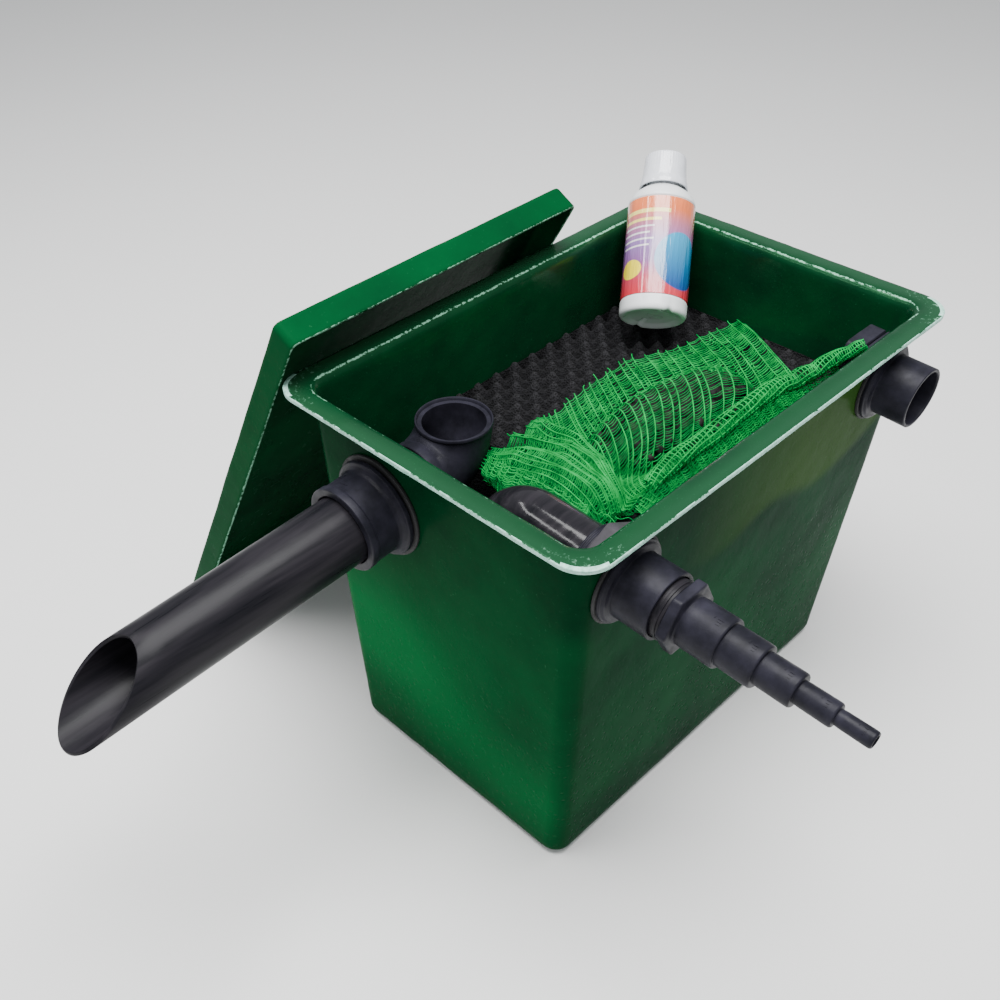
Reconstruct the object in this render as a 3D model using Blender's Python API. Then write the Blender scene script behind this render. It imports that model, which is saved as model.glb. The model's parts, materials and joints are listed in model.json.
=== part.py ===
"""Gravity-fed pond filter box: a tapered fibreglass tub with pipe fittings, foams and a lift-off lid.

Metres, +Z up. The origin is the centre of the tub's underside. +X runs along the tub's long side,
away from the wall that carries the spout, and the lid leans on the tub's +Y side.
"""

import math

import bmesh
import bpy
from mathutils import Matrix, Vector

MM = 0.001
GAP = 0.3 * MM  # clearance between touching pieces

# Tub
HEIGHT = 400 * MM
RIM_LENGTH = 504 * MM
RIM_WIDTH = 341 * MM
BASE_LENGTH = 431 * MM
BASE_WIDTH = 268 * MM
FLANGE = 19 * MM
FLANGE_THICK = 4.5 * MM
WALL = 4 * MM
RIM_CORNER = 28 * MM
BODY_CORNER = 19 * MM
BOTTOM_EDGE = 10 * MM
SLOPE_X = (RIM_LENGTH / 2 - FLANGE - BASE_LENGTH / 2) / HEIGHT
SLOPE_Y = (RIM_WIDTH / 2 - FLANGE - BASE_WIDTH / 2) / HEIGHT

# Lid
LID_WIDTH = 346 * MM
LID_LENGTH = 509 * MM
LID_DEPTH = 25 * MM
LID_WALL = 3 * MM
LID_CORNER = 7 * MM
LID_LEAN = math.radians(28.5)
LID_YAW = math.radians(1.1)
LID_LEFT = -251.5 * MM

# 2 inch outlet: tank connector, spout and overflow elbow
SPOUT_Y = 64.6 * MM
SPOUT_Z = 321 * MM
SPOUT_TILT = math.radians(3.4)
SPOUT_PIPE_R = 30.15 * MM
SPOUT_BORE_R = 26.8 * MM
SPOUT_REACH = 273 * MM  # wall to the middle of the oblique end
SPOUT_CUT = 37 * MM  # half the length that the oblique cut takes
SPOUT_THREAD_R = 35 * MM
SPOUT_SOCKET = 43  # mm from the wall to the socket's lip
SPOUT_NUT_FLATS = 84  # mm
ELBOW_R = 33.5 * MM
ELBOW_BEND_R = 35 * MM
ELBOW_X = -144 * MM

# 1 1/2 inch fittings: inlet and second outlet
INLET_X = -180 * MM
INLET_Z = 343.4 * MM
STUB_X = 179 * MM
STUB_Z = 348.5 * MM
SIDE_PIPE_R = 25 * MM
SIDE_THREAD_R = 29.8 * MM
SIDE_SOCKET = 42  # mm from the wall to the socket's lip
SIDE_TAIL_BORE_R = 25.4  # mm
SIDE_NUT_FLATS = 70.5  # mm
BUSH_R = 24.15 * MM
BEND_R = 34 * MM
DROP_LENGTH = 235 * MM

# Stepped hosetail, in mm from the wall and from its axis
TAIL_SPIGOT_R = 20.2
TAIL_START = 30
TAIL_HEX_START = 51
TAIL_HEX_END = 59.5
TAIL_HEX_FLATS = 52
TAIL_STEPS = ((20.2, 92, 16.5), (17.3, 121, 13.6), (13.6, 150, 10), (9.6, 179, 6.8), (6.7, 207, 4.3))

# Filter media
GRID_Z = 50 * MM
GRID_THICK = 6 * MM
GRID_EASE = 12 * MM  # grid to tub wall, clear of the rounded bottom edge
GRID_LEG = 30 * MM
GRID_BORDER = 14 * MM
GRID_SLOTS = 6
GRID_BAR = 16 * MM
FOAM_LEFT = -98 * MM
FOAM_TOP = 316 * MM
FOAM_SPLITS = (57 * MM, 161 * MM, 266 * MM)
FOAM_NAMES = ("foam_bottom", "foam_middle", "foam_top")
FOAM_EASE = 1.2 * MM  # foam to tub wall
NOTCH_X = 134 * MM
NOTCH_Y = -110 * MM

# Media bag
BAG_SKIN = 2 * MM
BAG_FILLED_TO = 100  # mm in X
BAG_STATIONS = (
    # x, y low, y high, crest height over the foam, ridge height along the -Y side (mm)
    (-146, -12, 22, 20, 18),
    (-126, -92, 25, 27, 22),
    (-100, -122, 27, 32, 26),
    (-62, -130, 84, 28, 30),
    (-10, -132, 92, 20, 34),
    (40, -132, 84, 28, 38),
    (85, -132, 61, 24, 42),
    (128, -130, 43, 10, 40),
    (150, -98, 36, 7, 10),
    (216, -24, 28, 6, 6),
)

# Bottle
BOTTLE_R = 33 * MM
BOTTLE_BASE = Vector((135.4, 70.6, 339.6)) * MM
BOTTLE_LEAN = math.radians(47.6)
BOTTLE_HEADING = math.radians(36.6)


def clear_scene():
    for obj in list(bpy.data.objects):
        bpy.data.objects.remove(obj, do_unlink=True)


def make_material(name, colour, roughness, metallic=0.0):
    material = bpy.data.materials.new(name)
    material.use_nodes = True
    shader = material.node_tree.nodes["Principled BSDF"]
    shader.inputs["Base Color"].default_value = (*colour, 1.0)
    shader.inputs["Roughness"].default_value = roughness
    shader.inputs["Metallic"].default_value = metallic
    material.diffuse_color = (*colour, 1.0)
    return material


def circle(radius, z, count):
    """Points of a level circle about the local Z axis."""
    return [
        Vector((radius * math.cos(turn), radius * math.sin(turn), z))
        for turn in (2 * math.pi * i / count for i in range(count))
    ]


def hexagon(across_flats, z, count):
    """Points round a hexagon with two flats facing up and down. count is a multiple of 6."""
    points = []
    for i in range(count):
        turn = 2 * math.pi * i / count
        from_flat = (turn + math.pi / 6 - math.pi / 2) % (math.pi / 3) - math.pi / 6
        radius = across_flats / 2 / math.cos(from_flat)
        points.append(Vector((radius * math.cos(turn), radius * math.sin(turn), z)))
    return points


def rounded_rect(half_x, half_y, radius, z, steps=5):
    """Points round a rectangle with arcs at its corners."""
    points = []
    for corner, (side_x, side_y) in enumerate(((1, 1), (-1, 1), (-1, -1), (1, -1))):
        for step in range(steps + 1):
            turn = math.pi / 2 * (corner + step / steps)
            x = side_x * (half_x - radius) + radius * math.cos(turn)
            y = side_y * (half_y - radius) + radius * math.sin(turn)
            points.append(Vector((x, y, z)))
    return points


def rectangle(half_x, half_y, centre_x, z):
    """The four corners of a level rectangle on the XZ plane of symmetry."""
    return [
        Vector((centre_x + side_x * half_x, side_y * half_y, z))
        for side_x, side_y in ((1, 1), (-1, 1), (-1, -1), (1, -1))
    ]


def loft(name, loops, material, ring=False, frame=None):
    """One closed body through loops of equally many points: a ring solid, or capped at both ends."""
    body = bmesh.new()
    rows = [[body.verts.new(point) for point in loop] for loop in loops]
    pairs = list(zip(rows, rows[1:]))
    if ring:
        pairs.append((rows[-1], rows[0]))
    for low, high in pairs:
        for i in range(len(low)):
            j = (i + 1) % len(low)
            body.faces.new((low[i], low[j], high[j]))
            body.faces.new((low[i], high[j], high[i]))
    if not ring:
        body.faces.new(rows[0])
        body.faces.new(rows[-1])
    bmesh.ops.recalc_face_normals(body, faces=body.faces)
    mesh = bpy.data.meshes.new(name)
    body.to_mesh(mesh)
    body.free()
    mesh.shade_smooth()
    mesh.set_sharp_from_angle(angle=math.radians(35))
    obj = bpy.data.objects.new(name, mesh)
    bpy.context.collection.objects.link(obj)
    mesh.materials.append(material)
    if frame is not None:
        obj.matrix_world = frame
    return obj


def turned(name, profile, count, material, frame=None, ring=True):
    """A body of revolution about the local Z axis. profile is (radius, z) in millimetres."""
    loops = [circle(radius * MM, z * MM, count) for radius, z in profile]
    return loft(name, loops, material, ring=ring, frame=frame)


def sweep_loops(path, radii, sideways, count):
    """Circles along a path of (centre, direction) that bends in the plane square to sideways."""
    loops = []
    for (centre, direction), radius in zip(path, radii):
        other = direction.cross(sideways).normalized()
        loops.append(
            [
                centre + radius * (math.cos(turn) * sideways + math.sin(turn) * other)
                for turn in (2 * math.pi * i / count for i in range(count))
            ]
        )
    return loops


def cut(obj, cutter):
    """Takes the cutter's shape out of the object."""
    cutter.hide_render = True
    cutter.display_type = "WIRE"
    modifier = obj.modifiers.new("cut_" + cutter.name, "BOOLEAN")
    modifier.operation = "DIFFERENCE"
    modifier.object = cutter


def side_frame(x, z, tilt):
    """On the -Y wall: local Z points out of the wall, local Y points up, origin on the outer face."""
    out = Vector((0, -math.cos(tilt), -math.sin(tilt)))
    up = Vector((0, -math.sin(tilt), math.cos(tilt)))
    return frame_of(up, out, Vector((x, -(BASE_WIDTH / 2 + SLOPE_Y * z), z)))


def end_frame(y, z, tilt):
    """On the -X wall, in the same way."""
    out = Vector((-math.cos(tilt), 0, -math.sin(tilt)))
    up = Vector((-math.sin(tilt), 0, math.cos(tilt)))
    return frame_of(up, out, Vector((-(BASE_LENGTH / 2 + SLOPE_X * z), y, z)))


def frame_of(up, out, origin):
    turn = Matrix((up.cross(out), up, out)).transposed()
    return Matrix.Translation(origin) @ turn.to_4x4()


def tub_loop(z, outset, radius):
    """A level loop of the tub, outset from its tapered outer face."""
    half_x = BASE_LENGTH / 2 + SLOPE_X * z + outset
    half_y = BASE_WIDTH / 2 + SLOPE_Y * z + outset
    return rounded_rect(half_x, half_y, radius, z)


def make_tub(material, holes):
    top = HEIGHT
    under = HEIGHT - FLANGE_THICK
    shape = (
        (0, -BOTTOM_EDGE, 9 * MM),
        (3 * MM, -3 * MM, 15 * MM),
        (BOTTOM_EDGE, 0, 17 * MM),
        (under - 8 * MM, 0, BODY_CORNER),
        (under - 2 * MM, 2 * MM, BODY_CORNER + 2 * MM),
        (under, 6 * MM, BODY_CORNER + 4 * MM),
        (under, FLANGE, RIM_CORNER),
        (top, FLANGE, RIM_CORNER),
        (top, 3 * MM, BODY_CORNER + 2 * MM),
        (top - 2 * MM, -1.5 * MM, BODY_CORNER - 1 * MM),
        (top - 7 * MM, -WALL, BODY_CORNER - 3 * MM),
        (16 * MM, -WALL, 13 * MM),
        (7 * MM, -WALL - 3 * MM, 11 * MM),
        (WALL, -WALL - BOTTOM_EDGE, 6 * MM),
    )
    tub = loft("filter_tub", [tub_loop(*row) for row in shape], material)
    for name, frame, radius in holes:
        drill = turned(name, ((radius, -20), (radius, 20)), 32, material, frame, ring=False)
        cut(tub, drill)


def lid_frame():
    """Local X runs along the lid's width, local Y up its leaning length, local Z out of its open side."""
    across = Vector((math.cos(LID_YAW), math.sin(LID_YAW), 0))
    level = Vector((math.sin(LID_YAW), -math.cos(LID_YAW), 0))
    upward = Vector((0, 0, math.cos(LID_LEAN))) + level * math.sin(LID_LEAN)
    open_side = across.cross(upward)
    foot = LID_DEPTH * math.sin(LID_LEAN)
    reach = LID_DEPTH * math.cos(LID_LEAN) + HEIGHT * math.tan(LID_LEAN)
    contact = RIM_WIDTH / 2 + GAP - LID_WIDTH * math.sin(LID_YAW)
    origin = Vector((LID_LEFT, contact + reach * math.cos(LID_YAW), foot))
    turn = Matrix((across, upward, open_side)).transposed()
    return Matrix.Translation(origin) @ turn.to_4x4()


def make_lid(material):
    """A shallow tray: a panel with a skirt all round."""
    edge = 3 * MM
    rows = (
        (0, -edge, LID_CORNER - edge / 2),
        (edge / 3, -edge / 3, LID_CORNER),
        (edge, 0, LID_CORNER),
        (LID_DEPTH, 0, LID_CORNER),
        (LID_DEPTH, -LID_WALL, LID_CORNER - LID_WALL / 2),
        (LID_WALL + edge, -LID_WALL, LID_CORNER - LID_WALL / 2),
        (LID_WALL, -LID_WALL - edge, LID_CORNER - LID_WALL),
    )
    middle = Vector((LID_WIDTH / 2, LID_LENGTH / 2, 0))
    loops = []
    for z, outset, radius in rows:
        loop = rounded_rect(LID_WIDTH / 2 + outset, LID_LENGTH / 2 + outset, radius, z, steps=3)
        loops.append([point + middle for point in loop])
    loft("filter_lid", loops, material, frame=lid_frame())


def tail_rings(radius, depth, start, pitch, count):
    """Profile points of the thread crests on a connector's tail, running inwards."""
    points = []
    for i in range(count):
        z = start - i * pitch
        points += [(radius, z), (radius - depth, z - pitch / 2)]
    return points


def make_side_connector(name, material, frame):
    """1 1/2 inch tank connector: socket and flange outside the wall, threaded tail inside."""
    thread = SIDE_THREAD_R / MM
    outside = [(28, SIDE_SOCKET), (28, 9), (36, 8), (36, 3.3), (thread, 3.3), (thread, -22.5)]
    crests = tail_rings(thread, 1.2, -23, 3, 3)
    tail_bore = [(SIDE_TAIL_BORE_R, -31.7), (SIDE_TAIL_BORE_R, 0)]
    pipe_stop = [(23, 1), (23, 10)]
    socket_bore = [(24.5, 11), (24.5, SIDE_SOCKET)]
    turned(name, outside + crests + tail_bore + pipe_stop + socket_bore, 24, material, frame)


def make_gasket(name, material, frame, thread, outer):
    """Flat rubber ring between the wall and a connector's flange."""
    inner = thread + 0.6
    low, high = 0.4, 3
    turned(name, ((inner, low), (outer, low), (outer, high), (inner, high)), 24, material, frame)


def make_backnut(name, material, frame, thread, across_flats, near, far):
    """Hexagonal nut on a connector's tail, between two depths behind the wall's outer face."""
    bore = thread + 0.3
    count = 24
    chamfer = 1.5
    loops = [
        circle(bore * MM, far * MM, count),
        circle((across_flats / 2 - chamfer) * MM, far * MM, count),
        hexagon(across_flats * MM, (far + chamfer) * MM, count),
        hexagon(across_flats * MM, near * MM, count),
        circle(bore * MM, near * MM, count),
    ]
    loft(name, loops, material, ring=True, frame=frame)


def make_outlet(black, rubber, frame, wall_frame):
    """Tank connector, gasket and backnut for the spout, which hangs a little below square."""
    thread = SPOUT_THREAD_R / MM
    lip = [(37.5, SPOUT_SOCKET), (38.3, SPOUT_SOCKET - 1), (38.3, 36), (37.2, 35)]
    flange = [(37.2, 13), (41, 9), (44, 8), (44, 4.2), (thread, 4.2), (thread, -21)]
    crests = tail_rings(thread, 1.3, -21.5, 3, 2)
    pipe_fit = SPOUT_PIPE_R / MM + 0.45
    tail_bore = [(pipe_fit, -27.2), (pipe_fit, 0)]
    pipe_stop = [(27.5, 1), (27.5, 8)]
    socket_bore = [(pipe_fit, 9), (pipe_fit, SPOUT_SOCKET)]
    profile = lip + flange + crests + tail_bore + pipe_stop + socket_bore
    turned("spout_tank_connector", profile, 32, black, frame)
    make_gasket("spout_gasket", rubber, wall_frame, thread, 47)
    make_backnut("spout_backnut", black, frame, thread, SPOUT_NUT_FLATS, -5.2, -20)


def make_spout(material, frame):
    """Straight pipe pushed into the socket. Its outer end is cut obliquely, shorter on top."""
    count = 32
    start = 9.5 * MM
    loops = []
    for radius, z in (
        (SPOUT_BORE_R, start),
        (SPOUT_PIPE_R, start),
        (SPOUT_PIPE_R, SPOUT_REACH),
        (SPOUT_BORE_R, SPOUT_REACH),
    ):
        loop = circle(radius, z, count)
        if z == SPOUT_REACH:
            for point in loop:
                point.z -= SPOUT_CUT * point.y / SPOUT_PIPE_R
        loops.append(loop)
    loft("spout_pipe", loops, material, ring=True, frame=frame)


def make_overflow(material, frame):
    """Short pipe from the connector's tail to the upturned elbow, whose mouth sets the water level."""
    wall_x = frame.translation.x
    inward = Vector((math.cos(SPOUT_TILT), 0, math.sin(SPOUT_TILT)))
    run = (ELBOW_X - wall_x) / inward.x
    corner = frame.translation + inward * run
    bend_start = run - ELBOW_BEND_R / inward.x
    near, far = -0.5, -bend_start / MM + 1
    bore, outer = SPOUT_BORE_R / MM, SPOUT_PIPE_R / MM
    pipe = ((bore, near), (outer, near), (outer, far), (bore, far))
    turned("overflow_pipe", pipe, 32, material, frame)
    sideways = Vector((0, 1, 0))
    path = [(corner + inward * (along - ELBOW_BEND_R), inward) for along in (-11 * MM, 0)]
    steps = 6
    centre = Vector((ELBOW_X - ELBOW_BEND_R, corner.y, corner.z + ELBOW_BEND_R))
    for i in range(1, steps + 1):
        turn = SPOUT_TILT + (math.pi / 2 - SPOUT_TILT) * i / steps
        direction = Vector((math.cos(turn), 0, math.sin(turn)))
        outward = Vector((math.sin(turn), 0, -math.cos(turn)))
        path.append((centre + outward * ELBOW_BEND_R, direction))
    path.append((path[-1][0] + Vector((0, 0, 3 * MM)), Vector((0, 0, 1))))
    outer = sweep_loops(path, [ELBOW_R] * len(path), sideways, 28)
    socket, waist, mouth = 30.6 * MM, 27.5 * MM, 30.4 * MM
    bores = [socket] * 2 + [waist] * steps + [mouth]
    inner = sweep_loops(path, bores, sideways, 28)
    home = Matrix.Translation(corner)
    loops = [[point - corner for point in loop] for loop in outer + inner[::-1]]
    loft("overflow_elbow", loops, material, ring=True, frame=home)


def make_inlet(black, rubber, frame):
    make_side_connector("inlet_tank_connector", black, frame)
    make_gasket("inlet_gasket", rubber, frame, SIDE_THREAD_R / MM, 38)
    turned_frame = frame @ Matrix.Rotation(math.pi / 6, 4, "Z")  # a flat faces the tub's corner
    make_backnut("inlet_backnut", black, turned_frame, SIDE_THREAD_R / MM, SIDE_NUT_FLATS, -6, -22)
    bore, outer = TAIL_SPIGOT_R + 0.3, BUSH_R / MM
    low, high = 12, TAIL_HEX_START - 0.5
    bush = ((bore, low), (outer, low), (outer, high), (bore, high))
    turned("inlet_bush", bush, 24, black, frame)
    make_hosetail(black, frame)


def make_hosetail(material, frame):
    """Hexagon collar and five steps for hoses of 13 to 40 mm, on one spigot, bored to follow the steps."""
    count = 24
    sections = [(TAIL_SPIGOT_R, TAIL_START), (TAIL_SPIGOT_R, TAIL_HEX_START)]
    loops = [circle(radius * MM, z * MM, count) for radius, z in sections]
    for z in (TAIL_HEX_START, TAIL_HEX_END):
        loops.append(hexagon(TAIL_HEX_FLATS * MM, z * MM, count))
    start = TAIL_HEX_END
    for radius, end, _ in TAIL_STEPS:
        for ring_radius, z in ((radius - 0.4, start), (radius, end - 2), (radius - 0.8, end)):
            loops.append(circle(ring_radius * MM, z * MM, count))
        start = end
    ends = [TAIL_START] + [end - 3 for _, end, _ in TAIL_STEPS]
    ends[-1] = TAIL_STEPS[-1][1]
    for index in reversed(range(len(TAIL_STEPS))):
        bore = TAIL_STEPS[index][2]
        taper = 0 if index == len(TAIL_STEPS) - 1 else 3
        loops.append(circle(bore * MM, (ends[index + 1] - taper) * MM, count))
        loops.append(circle(bore * MM, ends[index] * MM, count))
    loft("stepped_hosetail", loops, material, ring=True, frame=frame)


def make_inlet_bend(material, frame):
    """Glossy bend from the connector's tail down into the pipe bay, its coupler and the drop pipe."""
    arm_end = -(118 - BEND_R / MM) * MM
    down = Vector((0, -1, 0))
    inward = Vector((0, 0, -1))
    path = [(Vector((0, 0, -2 * MM)), inward), (Vector((0, 0, arm_end)), inward)]
    steps = 6
    for i in range(1, steps + 1):
        turn = math.pi / 2 * i / steps
        direction = inward * math.cos(turn) + down * math.sin(turn)
        offset = inward * math.sin(turn) + down * (1 - math.cos(turn))
        path.append((Vector((0, 0, arm_end)) + offset * BEND_R, direction))
    path.append((path[-1][0] + down * 38 * MM, down))
    sideways = Vector((1, 0, 0))
    outer = sweep_loops(path, [SIDE_PIPE_R] * len(path), sideways, 24)
    inner = sweep_loops(path, [SIDE_PIPE_R - 3 * MM] * len(path), sideways, 24)
    loft("inlet_bend", outer + inner[::-1], material, ring=True, frame=frame)
    foot = frame @ Matrix.Translation(path[-1][0]) @ Matrix.Rotation(math.pi / 2, 4, "X")
    pipe = SIDE_PIPE_R / MM
    coupler = ((pipe + 0.4, -22), (pipe + 4, -22), (pipe + 4, 22), (pipe + 0.4, 22))
    turned("drop_coupler", coupler, 24, material, foot)
    drop = DROP_LENGTH / MM
    profile = ((pipe - 3, 1), (pipe, 1), (pipe, drop), (pipe - 3, drop))
    turned("inlet_drop_pipe", profile, 24, material, foot)


def make_second_outlet(black, rubber, frame):
    thread = SIDE_THREAD_R / MM
    make_side_connector("second_outlet_connector", black, frame)
    make_gasket("second_outlet_gasket", rubber, frame, thread, 38)
    make_backnut("second_outlet_locknut", black, frame, thread, SIDE_NUT_FLATS, -7.8, -13.8)
    make_backnut("second_outlet_backnut", black, frame, thread, SIDE_NUT_FLATS, -14.8, -31)


def make_grid(material):
    """Slotted plate on four corner legs that holds the foams clear of the floor."""
    left = FOAM_LEFT + 2 * MM
    right = BASE_LENGTH / 2 - WALL - GRID_EASE
    half_x, centre_x = (right - left) / 2, (left + right) / 2
    half_y = BASE_WIDTH / 2 - WALL - GRID_EASE
    foot = WALL + GAP
    over = 5 * MM  # how far a cutter runs past the face that it cuts
    block = []
    for z in (foot, GRID_Z + GRID_THICK):
        loop = rounded_rect(half_x, half_y, 12 * MM, z, 2)
        block.append([point + Vector((centre_x, 0, 0)) for point in loop])
    grid = loft("media_grid", block, material)
    for name, tunnel_x, tunnel_y in (
        ("grid_tunnel_x", half_x + 2 * over, half_y - GRID_LEG),
        ("grid_tunnel_y", half_x - GRID_LEG, half_y + 2 * over),
    ):
        tunnel = [rectangle(tunnel_x, tunnel_y, centre_x, z) for z in (foot - over, GRID_Z)]
        cut(grid, loft(name, tunnel, material))
    pitch = 2 * (half_x - GRID_BORDER) / GRID_SLOTS
    for index in range(GRID_SLOTS):
        x = left + GRID_BORDER + pitch * (index + 0.5)
        ends = (GRID_Z - over, GRID_Z + GRID_THICK + over)
        slot = [rectangle((pitch - GRID_BAR) / 2, half_y - GRID_LEG, x, z) for z in ends]
        cut(grid, loft(f"grid_slot_{index}", slot, material))


def foam_outline(z):
    """Outline of a foam at one height, notched round the second outlet's nuts."""
    right = BASE_LENGTH / 2 + SLOPE_X * z - WALL - FOAM_EASE
    side = BASE_WIDTH / 2 + SLOPE_Y * z - WALL - FOAM_EASE
    corner = 9 * MM
    corners = (
        (FOAM_LEFT, -side),
        (NOTCH_X, -side),
        (NOTCH_X, NOTCH_Y),
        (right, NOTCH_Y),
        (right, side - corner),
        (right - corner, side),
        (FOAM_LEFT, side),
    )
    return [Vector((x, y, z)) for x, y in corners]


def make_foams(material):
    tops = [split - GAP - 0.2 * MM for split in FOAM_SPLITS[1:]] + [FOAM_TOP]
    for name, low, high in zip(FOAM_NAMES, FOAM_SPLITS, tops):
        loft(name, [foam_outline(low), foam_outline(high)], material)


def bag_section(x, low, high, crest, ridge, shrink):
    """One cross-section of the bag: flat underneath, a ridge along -Y, a soft crest and a thin +Y edge."""
    bottom = FOAM_TOP + 0.5 * MM + shrink
    low, high = low * MM + shrink, high * MM - shrink
    edge = min(crest, 9) * MM - 2 * shrink
    crest = crest * MM - 2 * shrink
    ridge = ridge * MM - 2 * shrink
    front = ((0, 0), (0, ridge * 0.7), (0.06, ridge), (0.14, ridge * 0.9))
    middle = ((0.3, crest * 0.8), (0.5, crest), (0.72, crest * 0.75))
    back = ((0.9, edge), (1, edge * 0.7), (1, 0), (0.5, 0))
    outline = front + middle + back
    return [Vector((x * MM, low + share * (high - low), bottom + up)) for share, up in outline]


def make_bag(green, dark):
    """Net bag as a thin skin open at its -X end, round one lump of media."""
    outer = [bag_section(*row, 0) for row in BAG_STATIONS]
    bag = loft("media_bag", outer, green)
    filled = [row for row in BAG_STATIONS if row[0] < BAG_FILLED_TO]
    hollow = [bag_section(*row, BAG_SKIN) for row in filled]
    mouth = [point - Vector((12 * MM, 0, 0)) for point in hollow[0]]
    cut(bag, loft("bag_hollow", [mouth] + hollow, dark))
    lump = [bag_section(*row, BAG_SKIN + 2 * GAP) for row in filled[:-1]]
    loft("bag_media", lump, dark)


def make_bottle(white, clear, label):
    """Bottle leaning into the tub's corner: body, label, screw cap and measuring overcap."""
    swing = Matrix.Rotation(BOTTLE_HEADING, 4, "Z") @ Matrix.Rotation(BOTTLE_LEAN, 4, "Y")
    frame = Matrix.Translation(BOTTLE_BASE) @ swing
    radius = BOTTLE_R / MM
    body = [(radius - 4, 0), (radius - 1, 1), (radius, 4), (radius, 15), (radius - 0.8, 15.5)]
    body += [(radius - 0.8, 114), (radius, 114.5), (radius - 1.5, 120), (radius - 6, 126)]
    body += [(19, 132), (16, 135), (15, 138), (15, 149)]
    turned("bottle_body", body, 28, white, frame, ring=False)
    sleeve = ((radius - 0.5, 16), (radius, 16), (radius, 113.5), (radius - 0.5, 113.5))
    turned("bottle_label", sleeve, 28, label, frame)
    cap = ((15.4, 139), (18.4, 139), (18.4, 152), (17.6, 153))
    loops = [circle(r * MM, z * MM, 24) for r, z in cap]
    inside = [circle(15.4 * MM, 149.5 * MM, 24)]
    loft("bottle_screw_cap", inside + loops, white, frame=frame)
    cup = ((19.2, 166), (20.4, 165), (22.2, 135.5), (21, 135.5), (19.2, 163.5))
    turned("bottle_measuring_cap", cup, 28, clear, frame, ring=False)


def main():
    clear_scene()
    green = make_material("green_fibreglass", (0.012, 0.09, 0.024), 0.3)
    black = make_material("black_plastic", (0.012, 0.012, 0.015), 0.42)
    glossy = make_material("glossy_black_pipe", (0.008, 0.008, 0.012), 0.18)
    rubber = make_material("rubber", (0.01, 0.01, 0.01), 0.8)
    foam = make_material("black_foam", (0.012, 0.012, 0.014), 0.95)
    net = make_material("green_net", (0.0, 0.42, 0.1), 0.4)
    media = make_material("dark_media", (0.01, 0.012, 0.012), 0.6)
    white = make_material("white_plastic", (0.8, 0.82, 0.82), 0.3)
    clear = make_material("milky_plastic", (0.75, 0.78, 0.82), 0.2)
    label = make_material("label_film", (0.55, 0.14, 0.12), 0.3)
    outlet = end_frame(SPOUT_Y, SPOUT_Z, SPOUT_TILT)
    inlet = side_frame(INLET_X, INLET_Z, math.atan(SLOPE_Y))
    second = side_frame(STUB_X, STUB_Z, math.atan(SLOPE_Y))
    side_hole = SIDE_THREAD_R / MM + 0.6
    holes = (
        ("outlet_hole", outlet, SPOUT_THREAD_R / MM + 0.8),
        ("inlet_hole", inlet, side_hole),
        ("second_outlet_hole", second, side_hole),
    )
    make_tub(green, holes)
    make_lid(green)
    wall_frame = end_frame(SPOUT_Y, SPOUT_Z, math.atan(SLOPE_X))
    make_outlet(black, rubber, outlet, wall_frame)
    make_spout(glossy, outlet)
    make_overflow(black, outlet)
    make_inlet(black, rubber, inlet)
    make_inlet_bend(glossy, inlet)
    make_second_outlet(black, rubber, second)
    make_grid(black)
    make_foams(foam)
    make_bag(net, media)
    make_bottle(white, clear, label)


main()
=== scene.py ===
"""Looks of the gravity-fed pond filter box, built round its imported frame. Metres, +Z up.

Each section makes one group of pieces in mesh code and rides it on its body. Profiles are in
millimetres in their own fitting's frame, whose local Z points out of the wall.
"""

import json
import math

import bmesh
import bpy
import numpy as np
from mathutils import Matrix, Vector, noise


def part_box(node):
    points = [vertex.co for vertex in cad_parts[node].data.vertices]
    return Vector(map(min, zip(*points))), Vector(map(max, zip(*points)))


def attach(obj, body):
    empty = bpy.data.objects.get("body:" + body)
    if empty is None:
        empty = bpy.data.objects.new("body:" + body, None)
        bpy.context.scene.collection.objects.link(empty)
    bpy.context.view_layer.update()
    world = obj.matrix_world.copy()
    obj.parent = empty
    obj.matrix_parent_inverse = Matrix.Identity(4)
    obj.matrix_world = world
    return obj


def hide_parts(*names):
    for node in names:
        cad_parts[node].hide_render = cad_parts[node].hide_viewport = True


MM = 0.001

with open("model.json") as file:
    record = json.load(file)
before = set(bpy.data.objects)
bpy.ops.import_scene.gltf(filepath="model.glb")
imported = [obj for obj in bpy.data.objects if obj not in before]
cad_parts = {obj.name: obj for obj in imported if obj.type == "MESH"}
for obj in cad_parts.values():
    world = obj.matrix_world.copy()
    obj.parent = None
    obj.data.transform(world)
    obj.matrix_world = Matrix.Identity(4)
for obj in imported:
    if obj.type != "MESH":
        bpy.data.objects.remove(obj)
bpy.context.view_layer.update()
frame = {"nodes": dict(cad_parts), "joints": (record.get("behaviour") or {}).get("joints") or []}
joints = {joint["name"]: joint for joint in frame["joints"]}


# ---------------------------------------------------------------- frames of the fittings

def wall_frame(origin, out):
    """Local Z out of the wall, local Y upwards."""
    out = Vector(out).normalized()
    across = Vector((0, 0, 1)).cross(out).normalized()
    turn = Matrix((across, out.cross(across), out)).transposed()
    return Matrix.Translation(Vector(origin)) @ turn.to_4x4()


def joint_frame(name):
    return wall_frame(joints[name]["pos_m"], joints[name]["axis"])


OUTLET = joint_frame("spout_turn")
INLET = joint_frame("hosetail_turn")
SECOND_ORIGIN = (0.179, -0.14925, 0.3485)
SECOND = wall_frame(SECOND_ORIGIN, joints["hosetail_turn"]["axis"])
ELBOW = joint_frame("elbow_swivel")
BOTTLE_AXIS = Vector(joints["screw_cap_turn"]["axis"])
SCREW_CAP_HEIGHT = 143  # mm up the bottle
BOTTLE_BASE = Vector(joints["screw_cap_turn"]["pos_m"]) - BOTTLE_AXIS * SCREW_CAP_HEIGHT * MM

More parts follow.
